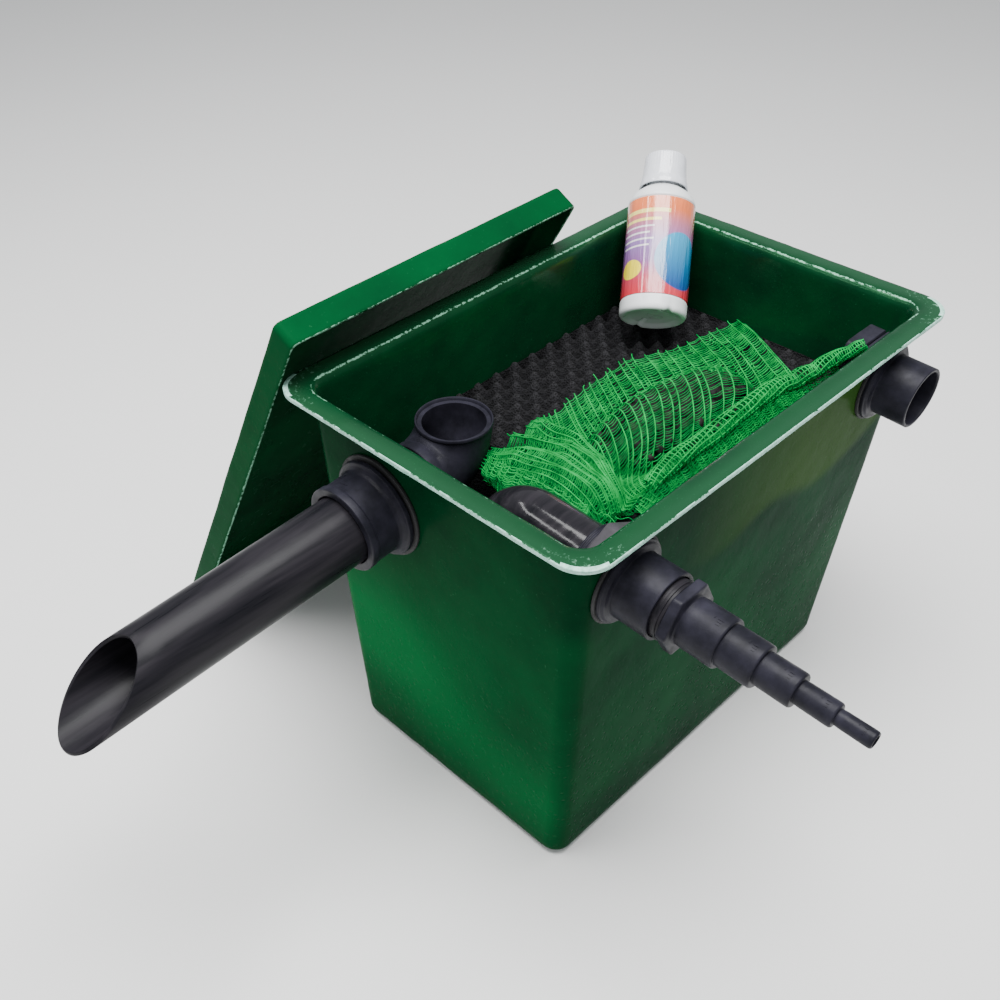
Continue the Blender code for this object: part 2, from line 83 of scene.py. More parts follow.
TUB_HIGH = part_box("filter_tub")[1]
HEIGHT = TUB_HIGH.z
FLANGE = 19 * MM
FLANGE_THICK = 4.5 * MM
HALF_X = TUB_HIGH.x - FLANGE
HALF_Y = TUB_HIGH.y - FLANGE
TAPER = 17.5 / 400  # how far each wall comes in for each unit down
FOAM_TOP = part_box("foam_top")[1].z

LID_WIDTH, LID_LENGTH, LID_DEPTH = 346, 509, 25  # mm
LID_LEAN, LID_YAW = math.radians(28.5), math.radians(1.1)
LID_LEFT = -0.2515
LID_GAP = 0.3 * MM


# ---------------------------------------------------------------- mesh helpers

def mesh_object(name, points, faces, material, smooth=40):
    """A mesh object, smooth except at edges sharper than the angle."""
    mesh = bpy.data.meshes.new(name)
    mesh.from_pydata([tuple(p) for p in np.asarray(points, float)], [], faces)
    mesh.validate()
    mesh.update()
    mesh.shade_smooth()
    mesh.set_sharp_from_angle(angle=math.radians(smooth))
    obj = bpy.data.objects.new(name, mesh)
    bpy.context.scene.collection.objects.link(obj)
    for item in material if isinstance(material, (list, tuple)) else [material]:
        mesh.materials.append(item)
    return obj


def settle(obj, body, slot, *nodes):
    """Rides the piece on its body and hides the CAD nodes that it stands for; slot is not used."""
    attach(obj, body)
    if nodes:
        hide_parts(*nodes)
    return obj


def ring_faces(rows, count, closed):
    """Quads between rows of points that run round, closed from the last row to the first or capped."""
    faces = []
    for row in range(rows if closed else rows - 1):
        a, b = row * count, (row + 1) % rows * count
        for i in range(count):
            j = (i + 1) % count
            faces.append((a + i, a + j, b + j, b + i))
    if not closed:
        faces.append(tuple(range(count))[::-1])
        faces.append(tuple((rows - 1) * count + i for i in range(count)))
    return faces


def outward(obj):
    """Turns the faces outwards."""
    work = bmesh.new()
    work.from_mesh(obj.data)
    bmesh.ops.recalc_face_normals(work, faces=work.faces)
    work.to_mesh(obj.data)
    work.free()
    return obj


def softened(profile, radius, closed=True, steps=3):
    """The profile with each corner turned into a short arc."""
    points = [np.array(p, float) for p in profile]
    result = []
    for i, corner in enumerate(points):
        if not closed and i in (0, len(points) - 1):
            result.append(corner)
            continue
        before, after = points[i - 1] - corner, points[(i + 1) % len(points)] - corner
        reach = min(radius, np.linalg.norm(before) * 0.45, np.linalg.norm(after) * 0.45)
        start = corner + before / np.linalg.norm(before) * reach
        end = corner + after / np.linalg.norm(after) * reach
        for step in range(steps + 1):
            t = step / steps
            result.append((1 - t) ** 2 * start + 2 * t * (1 - t) * corner + t * t * end)
    return result


def lathe(name, profile, place, material, count=112, radius=0.7, shape=None, closed=True):
    """A body turned about local Z. shape(turn, r, z) may change a point's radius and height."""
    rows = softened(profile, radius, closed)
    points = []
    for r, z in rows:
        for i in range(count):
            turn = 2 * math.pi * i / count
            rr, zz = shape(turn, r, z) if shape else (r, z)
            points.append(place @ Vector((rr * math.cos(turn), rr * math.sin(turn), zz)))
    return outward(mesh_object(name, points, ring_faces(len(rows), count, closed), material))


def scaled(place):
    """The frame with its local unit a millimetre."""
    return place @ Matrix.Scale(MM, 4)


def hexed(flats, low, high, turn0=0.0):
    """A shape for lathe: between two heights the radius runs round a hexagon."""
    def shape(turn, r, z):
        if not low <= z <= high or r < flats * 0.44:
            return r, z
        from_flat = (turn + turn0 + math.pi / 6 - math.pi / 2) % (math.pi / 3) - math.pi / 6
        return r * min(1 / math.cos(from_flat), 1.135), z

    return shape


def displace(obj, height):
    """Moves each point along its normal by height(point)."""
    mesh = obj.data
    count = len(mesh.vertices)
    points = np.zeros(count * 3)
    normals = np.zeros(count * 3)
    mesh.vertices.foreach_get("co", points)
    mesh.vertices.foreach_get("normal", normals)
    points, normals = points.reshape(-1, 3), normals.reshape(-1, 3)
    amount = np.array([height(Vector(p), Vector(n)) for p, n in zip(points, normals)])
    mesh.vertices.foreach_set("co", (points + normals * amount[:, None]).ravel())
    mesh.update()
    return obj


def paint(obj, name, values):
    """Stores one number at each point, for a material to read."""
    attribute = obj.data.attributes.new(name, "FLOAT", "POINT")
    attribute.data.foreach_set("value", np.asarray(values, np.float32))


def apply_modifiers(obj):
    graph = bpy.context.evaluated_depsgraph_get()
    mesh = bpy.data.meshes.new_from_object(obj.evaluated_get(graph))
    old = obj.data
    obj.modifiers.clear()
    obj.data = mesh
    bpy.data.meshes.remove(old)


def drill(obj, holes):
    """Cuts round holes, each (frame, radius in mm), and removes the cutters."""
    cutters = []
    for index, (place, radius) in enumerate(holes):
        points = []
        for z in (-22, 22):
            for i in range(96):
                turn = 2 * math.pi * i / 96
                points.append(scaled(place) @ Vector((radius * math.cos(turn), radius * math.sin(turn), z)))
        cutter = outward(mesh_object(f"cutter_{index}", points, ring_faces(2, 96, False), []))
        modifier = obj.modifiers.new("hole", "BOOLEAN")
        modifier.object = cutter
        modifier.solver = "MANIFOLD"
        modifier.operation = "DIFFERENCE"
        cutters.append(cutter)
    apply_modifiers(obj)
    for cutter in cutters:
        bpy.data.objects.remove(cutter)


# ---------------------------------------------------------------- material helpers

class Shader:
    """A Principled material and short ways to add nodes to it."""

    def __init__(self, name, colour, roughness, **sockets):
        self.material = bpy.data.materials.new(name)
        self.material.use_nodes = True
        self.tree = self.material.node_tree
        self.out = self.tree.nodes["Principled BSDF"]
        self.set("Base Color", (*colour, 1))
        self.set("Roughness", roughness)
        for key, value in sockets.items():
            self.set(key.replace("_", " "), value)

    def set(self, socket, value):
        self.out.inputs[socket].default_value = value

    def link(self, output, socket):
        self.tree.links.new(output, self.out.inputs[socket])

    def node(self, kind, inputs=None, **settings):
        made = self.tree.nodes.new("ShaderNode" + kind)
        for key, value in settings.items():
            setattr(made, key, value)
        for key, value in (inputs or {}).items():
            if isinstance(value, bpy.types.NodeSocket):
                self.tree.links.new(value, made.inputs[key])
            else:
                made.inputs[key].default_value = value
        return made

    def place(self, scale=(1, 1, 1)):
        """Object coordinates, stretched."""
        where = self.node("TexCoord").outputs["Object"]
        return self.node("Mapping", {"Vector": where, "Scale": scale}).outputs["Vector"]

    def noise(self, scale, detail=3.0, roughness=0.5, stretch=(1, 1, 1)):
        inputs = {"Vector": self.place(stretch), "Scale": scale, "Detail": detail, "Roughness": roughness}
        return self.node("TexNoise", inputs).outputs["Fac"]

    def cells(self, scale):
        return self.node("TexVoronoi", {"Vector": self.place(), "Scale": scale}).outputs["Distance"]

    def spread(self, value, low, high, to_low=0.0, to_high=1.0):
        inputs = {"Value": value, "From Min": low, "From Max": high, "To Min": to_low, "To Max": to_high}
        return self.node("MapRange", inputs).outputs["Result"]

    def mix(self, share, first, second):
        made = self.node("Mix", data_type="RGBA")
        for socket, value in ((made.inputs[0], share), (made.inputs[6], first), (made.inputs[7], second)):
            if isinstance(value, bpy.types.NodeSocket):
                self.tree.links.new(value, socket)
            else:
                socket.default_value = value if isinstance(value, float) else (*value, 1)
        return made.outputs[2]

    def maths(self, kind, first, second):
        made = self.node("Math", operation=kind)
        for socket, value in ((made.inputs[0], first), (made.inputs[1], second)):
            if isinstance(value, bpy.types.NodeSocket):
                self.tree.links.new(value, socket)
            else:
                socket.default_value = value
        return made.outputs[0]

    def painted(self, name):
        return self.node("Attribute", attribute_name=name).outputs["Fac"]

    def bump(self, *layers):
        """Bump from (height, distance in mm) layers, one on another."""
        normal = None
        for height, distance in layers:
            made = self.node("Bump", {"Height": height, "Distance": distance * MM, "Strength": 1.0})
            if normal is not None:
                self.tree.links.new(normal, made.inputs["Normal"])
            normal = made.outputs["Normal"]
        self.link(normal, "Normal")


def green_material(name, index):
    """Gelcoat over hand-laid glass fibre: a little mottled, rubbed pale on its crests, paler on the far
    crests as a painted highlight.

    The painted values add a painted glow of light, a painted reflection in a dull yellow-green, painted light
    and shade across the rim's roll, and pits. An index of refraction below the real one keeps the pale floor
    from hazing walls that are seen at a slant.
    """
    shader = Shader(name, (0.004, 0.05, 0.014), 0.3, IOR=index, Specular_Tint=(0.3, 0.85, 0.45, 1))
    mottle = shader.spread(shader.noise(9, 5, 0.6), 0.38, 0.66)
    colour = shader.mix(mottle, (0.0015, 0.024, 0.009), (0.002, 0.045, 0.014))
    # Painted light: bright lightens the walls where the glow is painted on them.
    low = shader.painted("bright")
    colour = shader.mix(low, colour, (0.002, 0.12, 0.03))
    # Painted reflection: a yellow-green tone laid where a reflection is painted on the -Y wall.
    painted_reflection = shader.painted("painted_reflection")
    colour = shader.mix(painted_reflection, colour, (0.03, 0.075, 0.014))
    # Painted light and shade: lip lightens the rim's top outwards and leaves its inner roll darker.
    lip = shader.painted("lip")
    colour = shader.mix(lip, colour, (0.009, 0.05, 0.021))
    fleck = shader.spread(shader.noise(420, 2, 0.6), 0.68, 0.76)
    colour = shader.mix(shader.maths("MULTIPLY", fleck, 0.25), colour, (0.05, 0.22, 0.1))
    # Pale patches: rubbed, and on the tub's far crests a painted highlight as well.
    rubbed_and_lit = shader.painted("wear_and_highlight")
    patchy = shader.spread(shader.noise(230, 6, 0.75), 0.36, 0.6)
    chipped_and_lit = shader.spread(shader.maths("MULTIPLY", rubbed_and_lit, shader.maths("ADD", patchy, 0.35)), 0.5, 0.66)
    colour = shader.mix(chipped_and_lit, colour, (0.2, 0.44, 0.3))
    shader.link(colour, "Base Color")
    shader.link(shader.spread(shader.noise(60, 4, 0.6), 0.3, 0.7, 0.16, 0.3), "Roughness")
    peel = shader.noise(210, 2, 0.5)
    pits = shader.spread(shader.cells(150), 0.0, 0.32)
    pitted = shader.maths("MULTIPLY", pits, shader.painted("pitted"))
    shader.bump((shader.noise(34, 3, 0.5), 0.55), (pitted, 0.6), (peel, 0.14))
    return shader.material


def edge_material():
    """The sawn edge of the laminate, pale mint where the resin shows."""
    shader = Shader("cut_laminate", (0.42, 0.6, 0.5), 0.6)
    streak = shader.spread(shader.noise(240, 6, 0.75), 0.3, 0.62)
    shader.link(shader.mix(streak, (0.16, 0.42, 0.3), (0.5, 0.78, 0.68)), "Base Color")
    shader.bump((shader.noise(700, 3, 0.7), 0.25))
    return shader.material


def moulded_material(name, colour, roughness, tint=(0.024, 0.023, 0.034), index=1.2):
    """Satin moulded plastic with a faint cool bloom and fine texture."""
    shader = Shader(name, colour, roughness, IOR=index)
    bloom = shader.spread(shader.noise(38, 5, 0.65), 0.38, 0.72)
    shader.link(shader.mix(bloom, colour, tint), "Base Color")
    uneven = shader.spread(shader.noise(90, 4, 0.6), 0.3, 0.7, roughness - 0.08, roughness + 0.1)
    shader.link(uneven, "Roughness")
    shader.bump((shader.noise(900, 2, 0.5), 0.05), (shader.noise(60, 3, 0.5), 0.25))
    return shader.material


def pipe_material(name, roughness, scratch, index):
    """Extruded pipe: fine lines along its length and a few scratches."""
    shader = Shader(name, (0.012, 0.012, 0.014), roughness, IOR=index)
    lines = shader.noise(120, 3, 0.6, (0.06, 1, 1))
    tone = shader.mix(shader.spread(lines, 0.35, 0.7), (0.007, 0.007, 0.009), (0.02, 0.018, 0.022))
    shader.link(tone, "Base Color")
    shader.link(shader.spread(lines, 0.3, 0.7, roughness - 0.05, roughness + scratch), "Roughness")
    shader.bump((lines, 0.1), (shader.noise(30, 2, 0.5), 0.3))
    return shader.material


def foam_material():
    """Open-cell foam, with painted light on its peaks and painted shade in its pores."""
    shader = Shader("black_foam", (0.016, 0.016, 0.018), 1.0, Specular_IOR_Level=0.25)
    cells = shader.cells(520)
    # Painted light: the foam is made lighter near the tops of its peaks.
    painted_peak_light = shader.painted("painted_peak_light")
    base = shader.mix(painted_peak_light, (0.004, 0.004, 0.005), (0.02, 0.0195, 0.022))
    # Painted shade: each cell is darker towards its middle, like a shaded pore.
    shader.link(shader.mix(shader.spread(cells, 0.1, 0.6), (0.003, 0.003, 0.003), base), "Base Color")
    shader.bump((cells, 1.2), (shader.noise(300, 4, 0.7), 0.8))
    return shader.material


def net_material():
    """Polyethylene yarn: bright green with a soft sheen."""
    tint = (0.3, 1, 0.5, 1)
    shader = Shader("green_net", (0.0, 0.42, 0.09), 0.42, Specular_IOR_Level=0.16, Specular_Tint=tint)
    tone = shader.spread(shader.noise(70, 4, 0.6), 0.3, 0.7)
    shader.link(shader.mix(tone, (0.0, 0.13, 0.022), (0.0, 0.36, 0.07)), "Base Color")
    shader.bump((shader.noise(1500, 2, 0.6), 0.12))
    return shader.material


def rubber_material():
    shader = Shader("black_rubber", (0.011, 0.011, 0.012), 0.7)
    shader.link(shader.spread(shader.noise(140, 4, 0.6), 0.3, 0.7, 0.6, 0.85), "Roughness")
    shader.bump((shader.noise(600, 3, 0.6), 0.12))
    return shader.material


def media_material():
    """Dull, nearly black filter media."""
    shader = Shader("dark_media", (0.008, 0.008, 0.008), 0.6, Specular_IOR_Level=0.15)
    mottle = shader.spread(shader.noise(90, 5, 0.6), 0.35, 0.7)
    shader.link(shader.mix(mottle, (0.003, 0.004, 0.004), (0.016, 0.013, 0.012)), "Base Color")
    shader.bump((shader.noise(400, 3, 0.6), 0.2))
    return shader.material


def plastic_material(name, colour, roughness, wrinkle=0.0, **sockets):
    """Glossy plastic. A wrinkle in mm puts shrink film's fine creases over it."""
    shader = Shader(name, colour, roughness, **sockets)
    dirt = shader.spread(shader.noise(50, 4, 0.6), 0.3, 0.75)
    shader.link(shader.mix(dirt, colour, tuple(c * 0.93 for c in colour)), "Base Color")
    shader.link(shader.spread(shader.noise(80, 3, 0.5), 0.3, 0.7, roughness, roughness + 0.12), "Roughness")
    if wrinkle:
        shader.bump((shader.noise(95, 2, 0.5, (1, 1, 0.35)), wrinkle))
    else:
        shader.bump((shader.noise(120, 2, 0.5), 0.06))
    return shader.material


GREEN = green_material("green_fibreglass", 1.36)
GREEN_OUTSIDE = green_material("green_fibreglass_outside", 1.045)
CUT_EDGE = edge_material()
FITTING = moulded_material("black_fitting", (0.009, 0.009, 0.013), 0.4)
NUT = moulded_material("grey_nut", (0.035, 0.033, 0.038), 0.48, (0.06, 0.055, 0.065))
PIPE = pipe_material("black_pipe", 0.3, 0.12, 1.2)
GLOSS_PIPE = pipe_material("glossy_black_pipe", 0.13, 0.04, 1.34)
RUBBER = rubber_material()
FOAM = foam_material()
NET = net_material()
MEDIA = media_material()
WHITE = plastic_material("white_plastic", (0.8, 0.82, 0.83), 0.25)
MILKY = plastic_material("milky_plastic", (0.72, 0.74, 0.79), 0.16, 1.2, Coat_Weight=0.6, Coat_Roughness=0.05)
GRID_BLACK = moulded_material("black_grid", (0.018, 0.018, 0.02), 0.5)


# ---------------------------------------------------------------- tub and lid

LONG_STEPS, SHORT_STEPS, ARC_STEPS = 84, 56, 12


def rim_loop(half_x, half_y, radius, z):
    """Points round a rounded rectangle, as many on each stretch whatever its size."""
    points = []
    corners = ((1, 1), (-1, 1), (-1, -1), (1, -1))
    for index, (side_x, side_y) in enumerate(corners):
        centre = np.array((side_x * (half_x - radius), side_y * (half_y - radius)))
        for step in range(ARC_STEPS + 1):
            turn = math.pi / 2 * (index + step / ARC_STEPS)
            points.append((*(centre + radius * np.array((math.cos(turn), math.sin(turn)))), z))
        next_x, next_y = corners[(index + 1) % 4]
        turn = math.pi / 2 * (index + 1)
        direction = np.array((math.cos(turn), math.sin(turn)))
        start = centre + radius * direction
        end = np.array((next_x * (half_x - radius), next_y * (half_y - radius))) + radius * direction
        steps = LONG_STEPS if index % 2 == 0 else SHORT_STEPS
        for step in range(1, steps):
            points.append((*(start + (end - start) * step / steps), z))
    return points


def filled_rows(keys):
    """Rows between key rows of (z, outset, radius, steps to the next)."""
    rows = []
    for first, second in zip(keys, keys[1:]):
        steps = first[3]
        for step in range(steps):
            t = step / steps
            rows.append(tuple(a + (b - a) * t for a, b in zip(first[:3], second[:3])))
    rows.append(keys[-1][:3])
    return rows


def beyond_wall(p):
    """How far the point lies outside the tub's outer wall in mm, negative inside it."""
    drop = (HEIGHT - p.z) * TAPER
    radius = 18 * MM
    dx = max(abs(p.x) - HALF_X + drop + radius, 0)
    dy = max(abs(p.y) - HALF_Y + drop + radius, 0)
    return (math.hypot(dx, dy) - radius) / MM


def tub_paint(p):
    """The painted values at a point of the tub."""
    out = beyond_wall(p)
    # Rubbed pale on the rim's cut edge, on the crest where it rolls into the tub and on the flat at its
    # corners; the crest is made paler on the far walls as a painted highlight.
    corner = abs(p.x) > HALF_X - 30 * MM and abs(p.y) > HALF_Y - 30 * MM
    edge = max(0.0, 1 - abs(out - 18.8) / 1.4) if p.z > HEIGHT - 2.5 * MM else 0
    crest = max(0.0, 1 - abs(out - 0.6) / 2.2) if p.z > HEIGHT - 6 * MM else 0
    far = p.y > HALF_Y - 30 * MM or p.x > HALF_X - 30 * MM
    flat = 0.4 if corner and p.z > HEIGHT - 1.5 * MM and out > 6 else 0
    top = p.z > HEIGHT - 6 * MM and out > -2.5
    # Painted light: bright holds a painted glow on the outer walls towards the -X end, strongest a third of
    # the way up and dimmed near the -Y side, with a faint painted glow on the -Y wall.
    facing = max(0.0, min(1.0, ((p.y + HALF_Y) / MM - (HEIGHT - p.z) * TAPER / MM) / 16))
    on_end = out > -2 and p.x < -0.15
    on_side = out > -2 and p.y < -0.1 and facing < 1
    share = p.z / HEIGHT
    glow = math.exp(-((share - 0.34) / 0.26) ** 2) * (0.5 + 0.5 * noise.noise(p * 7 + Vector((5, 2, 1))))
    if on_end and not top:
        bright = max(0.0, min(1.0, glow * 1.7)) * (0.15 + 0.85 * facing)
    else:
        bright = 0.2 * glow if on_side else 0.0
    # Painted reflection: a pale yellow-green area high on the -Y wall, towards +X, stands in for a blurred
    # reflection.
    wave = 0.06 * noise.noise(Vector((p.x * 9, p.x * 4, 1.7)))
    reflection_patch = min(1.0, max(0.0, (share - 0.7 + wave) * 30)) * min(1.0, max(0.0, (p.x + 0.1) / 0.16))
    return {
        "wear_and_highlight": max(edge * 0.75, crest * (1.15 if far else 0.6), flat),
        "bright": bright,
        "painted_reflection": reflection_patch * 0.85 if on_side and not top else 0.0,
        # Painted light and shade across the rim's top: lighter at its outer edge, darker where it rolls down
        # inside.
        "lip": max(0.15, min(1.0, (out + 2) / 15)) if top else 0.0,
        "pitted": max(0.0, min(1.0, (0.62 - share) * 3)) * (1.0 if out > -2 else 0.5),
    }


def make_tub():
    """The laminate shell with its turned-out rim, drilled for the three fittings."""
    top = HEIGHT / MM
    under = top - FLANGE_THICK / MM
    keys = (
        (0, -40, 9, 3), (0, -10, 9, 2), (0.8, -6.2, 12, 2), (3, -3, 15, 2), (6.2, -0.9, 16.5, 2),
        (10, 0, 17, 70),
        (under - 9, 0, 19, 2), (under - 5, 0.7, 20, 2), (under - 2, 2.4, 21, 2), (under - 0.4, 5, 22.5, 1),
        (under, 7, 23, 5), (under, 18.5, 27.7, 1), (under + 0.5, 19, 28, 3), (top - 0.6, 19, 28, 1),
        (top, 18.3, 27.6, 5), (top, 4.5, 21.6, 1), (top - 0.2, 2.4, 20.6, 1), (top - 0.9, 0, 19.5, 1),
        (top - 2.2, -1.8, 18, 1), (top - 4.2, -3.1, 16.8, 1), (top - 8, -4, 16, 72), (16, -4, 13, 2),
        (10.5, -5.2, 12, 2), (6.5, -8.2, 10, 2), (4.3, -12.5, 7, 2), (4, -16, 6, 3), (4, -44, 5, 0),
    )
    rows = filled_rows(keys)
    points = []
    for z, outset, radius in rows:
        drop = (HEIGHT - z * MM) * TAPER
        loop = rim_loop(HALF_X - drop + outset * MM, HALF_Y - drop + outset * MM, radius * MM, z * MM)
        points.extend(loop)
    count = len(points) // len(rows)
    finishes = [GREEN, CUT_EDGE, GREEN_OUTSIDE]
    tub = outward(mesh_object("tub_shell", points, ring_faces(len(rows), count, False), finishes, 55))

    def height(p, n):
        inside = n.x * p.x + n.y * p.y < 0
        broad = noise.noise(p * 16) * 0.55
        lay = noise.noise(p * 55 + Vector((3, 1, 7))) * (0.34 if inside else 0.12)
        crest = 0.25 * noise.noise(p * 90) if p.z > HEIGHT - 12 * MM else 0
        return (broad * (1.0 if inside else 0.55) + lay + crest) * MM

    displace(tub, height)
    painted = [tub_paint(vertex.co) for vertex in tub.data.vertices]
    for name in ("wear_and_highlight", "bright", "painted_reflection", "lip", "pitted"):
        paint(tub, name, [values[name] for values in painted])
    for face in tub.data.polygons:
        centre = face.center
        out = beyond_wall(centre)
        if centre.z > HEIGHT - 3.7 * MM and out > 18.6:
            face.material_index = 1
        elif out > -2 and centre.z < HEIGHT - 3 * MM:
            face.material_index = 2
    drill(tub, ((OUTLET, 35.8), (INLET, 30.4), (SECOND, 30.4)))
    return settle(tub, "tub", "green_fibreglass", "filter_tub")


def lid_place():
    """Local X along the lid's width, local Y up its leaning length, local Z out of its open side."""
    across = Vector((math.cos(LID_YAW), math.sin(LID_YAW), 0))
    level = Vector((math.sin(LID_YAW), -math.cos(LID_YAW), 0))
    upward = Vector((0, 0, math.cos(LID_LEAN))) + level * math.sin(LID_LEAN)
    turn = Matrix((across, upward, across.cross(upward))).transposed()
    reach = LID_DEPTH * MM * math.cos(LID_LEAN) + HEIGHT * math.tan(LID_LEAN)
    contact = TUB_HIGH.y + LID_GAP - LID_WIDTH * MM * math.sin(LID_YAW)
    origin = Vector((LID_LEFT, contact + reach * math.cos(LID_YAW), LID_DEPTH * MM * math.sin(LID_LEAN)))
    return Matrix.Translation(origin) @ turn.to_4x4()


def make_lid():
    """Shallow tray lid: a panel with a skirt all round."""
    half_width, half_length = LID_WIDTH / 2, LID_LENGTH / 2
    keys = (
        (0, -60, 5, 6), (0, -3, 5.5, 1), (0.3, -1.6, 6.2, 1), (1.2, -0.5, 6.8, 1), (2.8, 0, 7, 10),
        (24.2, 0, 7, 1), (25, -0.6, 6.6, 1), (25, -2.5, 5.7, 1), (24.3, -3, 5.5, 10), (7, -3, 5.5, 1),
        (4.6, -3.7, 5, 1), (3.3, -5.4, 4.5, 1), (3, -8, 4, 6), (3, -60, 4, 0),
    )
    place = lid_place() @ Matrix.Translation(Vector((half_width, half_length, 0)) * MM)
    points = []
    rows = filled_rows(keys)
    for z, outset, radius in rows:
        loop = rim_loop((half_length + outset) * MM, (half_width + outset) * MM, radius * MM, z * MM)
        points.extend(place @ Vector((y, x, z0)) for x, y, z0 in loop)
    count = len(points) // len(rows)
    lid = outward(mesh_object("lid_shell", points, ring_faces(len(rows), count, False), [GREEN_OUTSIDE], 50))

    def height(p, n):
        return (noise.noise(p * 14) * 0.5 + noise.noise(p * 70) * 0.14) * MM

    displace(lid, height)
    home = place.inverted()
    local = [home @ v.co for v in lid.data.vertices]
    out = [max(abs(p.x) - half_width * MM, abs(p.y) - half_length * MM) / MM for p in local]
    # The skirt's free edge is painted pale: a cut edge, with a painted highlight on it.
    paint(lid, "wear_and_highlight", [0.8 * max(0, 1 - abs(p.z / MM - LID_DEPTH) / 1.2) for p in local])
    # Painted light: bright makes the lid's outer faces lighter than its inside.
    inside = [1.0 if o < -2.4 and p.z > 1.5 * MM else 0.0 for p, o in zip(local, out)]
    paint(lid, "bright", [0.18 * (1 - i) for i in inside])
    paint(lid, "pitted", [0.15 for _ in inside])
    return settle(lid, "lid", "green_fibreglass", "filter_lid")


# ---------------------------------------------------------------- pipe fittings

def threads(radius, start, pitch, count, depth=1.1):
    """Profile points of thread crests, shown as rings, running inwards."""
    points = []
    for i in range(count):
        z = start - i * pitch
        points += [(radius, z), (radius - depth, z - pitch / 2)]
    return points


def ticks(name, place, radius, rows, body, slot):
    """Small raised bars round a fitting, each (turn in degrees, z, width, length)."""
    points, faces = [], []
    for turn, z, wide, long in rows:
        angle = math.radians(turn)
        base = len(points)
        for r in (radius - 0.6, radius + 0.35):
            for da, dz in ((-0.5, -0.5), (0.5, -0.5), (0.5, 0.5), (-0.5, 0.5)):
                a = angle + da * wide / radius
                points.append(scaled(place) @ Vector((r * math.cos(a), r * math.sin(a), z + dz * long)))
        low, high = [base + i for i in range(4)], [base + 4 + i for i in range(4)]
        faces += [low[::-1], high] + [(low[i], low[i - 3], high[i - 3], high[i]) for i in range(4)]
    return settle(outward(mesh_object(name, points, faces, FITTING)), body, slot)


def make_outlet():
    profile = [(37.4, 43), (38.3, 42.6), (38.3, 36.2), (37.2, 35.4), (37.2, 14), (38.4, 11), (41, 9.2)]
    profile += [(43.8, 8.4), (44, 4.2), (35, 4.2), (35, -21)] + threads(35, -21.5, 2, 3)
    profile += [(30.6, -27.6), (30.6, 0), (27.5, 1), (27.5, 8), (30.6, 9), (30.6, 40), (31.4, 43)]
    piece = lathe("outlet_flange_socket", profile, scaled(OUTLET), FITTING, 144, 0.8)
    settle(piece, "tub", "black_fitting", "spout_tank_connector")
    marks = [(118 + 5 * i, 21 + 0.8 * (i % 2), 1.2, 5.5 - (i % 3)) for i in range(6)]
    marks += [(96 + 4 * i, 29, 2.2, 1.0) for i in range(4)]
    ticks("outlet_ticks", OUTLET, 37.2, marks, "tub", "black_fitting")
    gasket = wall_frame(OUTLET.translation, (-1, 0, -TAPER))
    gasket_profile = [(35.6, 0.4), (47, 0.4), (47, 3), (35.6, 3)]
    settle(lathe("outlet_gasket", gasket_profile, scaled(gasket), RUBBER, 96, 0.6),
           "tub", "black_rubber", "spout_gasket")
    nut = [(35.3, -5.2), (41.5, -5.2), (42, -6.5), (42, -18.5), (41, -20), (35.3, -20)]
    settle(lathe("outlet_backnut", nut, scaled(OUTLET), FITTING, 120, 0.5, hexed(84, -19, -5.5)),
           "tub", "black_fitting", "spout_backnut")


def make_spout():
    """Pipe with an oblique outer end, its cut edge broken with a file."""
    count, outer, bore = 144, 30.15, 26.8
    sections = [(bore + 0.4, 9.5, 0), (outer - 0.5, 9.5, 0), (outer, 10.2, 0)]
    sections += [(outer, z, 0) for z in (60, 140, 220)]
    sections += [(outer, 272.3, 1), (outer - 0.25, 272.9, 1), (outer - 0.8, 273, 1)]
    sections += [(bore + 0.7, 273, 1), (bore + 0.15, 272.7, 1), (bore, 272, 1), (bore, 180, 0),
        (bore, 90, 0), (bore, 10, 0)]
    points = []
    for r, z, cut in sections:
        for i in range(count):
            turn = 2 * math.pi * i / count
            oblique = 37 * math.sin(turn) if cut else 0
            points.append(scaled(OUTLET) @ Vector((r * math.cos(turn), r * math.sin(turn), z - oblique)))
    spout = outward(mesh_object("spout_tube", points, ring_faces(len(sections), count, True), PIPE))
    settle(spout, "spout", "black_pipe", "spout_pipe")
    low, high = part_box("overflow_pipe")
    length = (high.x - low.x) / MM
    tail = [(bore, -0.5), (outer, -0.5), (outer, -length + 2), (bore, -length + 2)]
    settle(lathe("overflow_stub", tail, scaled(OUTLET), PIPE, 96, 0.4), "tub", "black_pipe", "overflow_pipe")


def bent_tube(name, path, radii, bores, sideways, material, count=96):
    """A tube round a path of (centre, direction), with its own outer and inner radius at each station."""
    loops = []
    for stations in (zip(path, radii), reversed(list(zip(path, bores)))):
        for (centre, direction), radius in stations:
            other = direction.cross(sideways).normalized()
            for i in range(count):
                turn = 2 * math.pi * i / count
                loops.append(centre + radius * (math.cos(turn) * sideways + math.sin(turn) * other))
    return outward(mesh_object(name, loops, ring_faces(2 * len(path), count, True), material))


